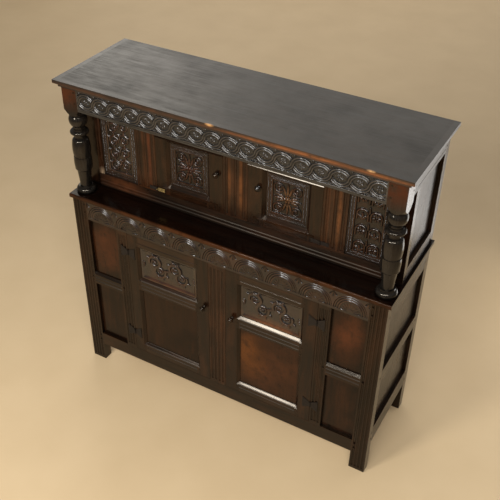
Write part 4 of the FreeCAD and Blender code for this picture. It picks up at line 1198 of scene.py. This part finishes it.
carved_oak_x = oak("carved_oak_x", "x", dark_colors, seed=1, carved=True, gloss=carved_gloss,
                   specular=0.5)
# Frieze oak, grey with the painted sheen of its colours
frieze_oak = oak("frieze_oak", "x", frieze_sheen_colors, seed=18, carved=True, gloss=carved_gloss, specular=0.48,
                 dirt_share=0.55)
carved_oak_z = oak("carved_oak_z", "z", dark_colors, seed=2, wear_share=0.35, glows=carving_glows,
                   carved=True, gloss=carved_gloss, specular=0.42)
waxed_oak_z = oak("waxed_oak_z", "z", dark_colors, seed=20, rough=0.18, glows=carving_glows, carved=True,
                  gloss=carved_gloss, specular=0.75)
dark_oak_x = oak("dark_oak_x", "x", dark_colors, seed=3, wear_share=0.6, dull=dull_lines(fixed_lines))
dark_oak_z = oak("dark_oak_z", "z", dark_colors, seed=5, wear_share=0.6)
door_oak_x = oak("door_oak_x", "x", door_colors, seed=16, wear_share=0.6, rough=0.15, specular=0.36,
                 waves=smooth_wave_depth, fine=smooth_grain_depth, dull=dull_lines(door_lines) + stop_dull)
door_oak_z = oak("door_oak_z", "z", door_colors, seed=17, wear_share=0.6, rough=0.22, dull=stop_dull,
                 streak_share=0.35)
side_oak_y = oak("side_oak_y", "y", dark_colors, seed=4, rough=0.30)
side_oak_z = oak("side_oak_z", "z", dark_colors, seed=10, rough=0.30)
panel_oak_z = oak("panel_oak_z", "z", door_colors, seed=11, wear_share=0.6, glows=panel_glows, specular=0.20)
column_oak = oak("column_oak", "z", column_colors, seed=12, wear_share=0.4, rough=0.13, glows=block_glows,
                 specular=0.30)
recess_rail_oak = oak("recess_rail_oak", "x", dark_colors, seed=6, wear_share=0.3, rough=0.42,
                      glows=rail_glows, specular=0.22)
worn_oak_z = oak("worn_oak_z", "z", worn_colors, seed=7, wear_share=0.7, rough=0.26, glows=strip_glows)
# Ledge oak, dark with the painted shade of its colours
ledge_oak = oak("ledge_oak", "x", ledge_shade_colors, seed=13, wear_share=0.6, rough=0.18, glows=ledge_glows,
                specular=0.14)
top_oak = oak("top_oak", "x", grey_colors, seed=14, wear_share=0.4, rough=0.42, gloss=top_gloss, specular=0.5,
              streak_share=0.4)
knob_oak = oak("knob_oak", "z", knob_colors, seed=19, wear_share=0.2, rough=0.14, gloss=carved_gloss,
               specular=0.6)
moulding_oak = oak("moulding_oak", "x", moulding_colors, seed=15, wear_share=0.9, rough=0.36,
                   glows=moulding_glows, gloss=plain_gloss, specular=0.5)
plain_oak_x = oak("plain_oak_x", "x", plain_colors, seed=8, wear_share=0.4, rough=0.7, gloss=plain_gloss,
                  specular=0.2)
plain_oak_z = oak("plain_oak_z", "z", plain_colors, seed=9, wear_share=0.4, rough=0.7, gloss=plain_gloss,
                  specular=0.2)
iron = metal("wrought_iron", *iron_colors, rough=0.6, metallic=0.0, specular=0.2)
brass = metal("aged_brass", *brass_colors, rough=0.35, metallic=0.75)

# What a node's name ends with, by finish: a later row goes over an earlier one
crisp_finishes = {
    dark_oak_z: ("_pegs", "_knob"),
    iron: ("_leaves",),
    column_oak: ("column_left", "column_right"),
    top_oak: ("top_boards",),
    moulding_oak: ("top_edge_moulding",),
    knob_oak: ("upper_right_door_knob",),
    brass: ("upper_left_door_hinge_leaves",),
}
rubbed_finishes = {
    dark_oak_x: ("lower_bottom_rail", "lower_fixed_mid_rails", "recess_head_rail"),
    dark_oak_z: ("back_stiles", "front_stile_left", "front_stile_right", "outer_muntins", "front_stiles"),
    door_oak_x: ("_door_rails",),
    door_oak_z: ("_door_stiles",),
    panel_oak_z: ("lower_fixed_panels", "_door_plain_panel"),
    side_oak_y: ("canopy_side_rails", "lower_side_rails", "upper_side_bottom_rails"),
    side_oak_z: ("_side_panels",),
    ledge_oak: ("ledge_boards",),
    recess_rail_oak: ("recess_bottom_rail",),
    worn_oak_z: ("lower_centre_muntin", "recess_uprights"),
    plain_oak_x: ("back_rails", "floor_boards"),
    plain_oak_z: ("back_boards",),
}


def dress_nodes(finishes, rubbed):
    """Materials of the nodes that keep their CAD shape, with rubbed edges where they are asked for."""
    for finish, endings in finishes.items():
        for name in frame["nodes"]:
            if name.endswith(endings):
                node = dress_node(name, finish)
                if rubbed:
                    soften(node)


make_camera()
for lamp in lamps:
    softbox(*lamp)
make_world()
make_floor()
frieze()
lunettes()
vine("left")
vine("right")
door_panel("left")
door_panel("right")
recess_left()
recess_right()
door_beads("left")
door_beads("right")
dress_nodes(crisp_finishes, rubbed=False)
dress_nodes(rubbed_finishes, rubbed=True)
bpy.context.scene.view_settings.view_transform = "Standard"
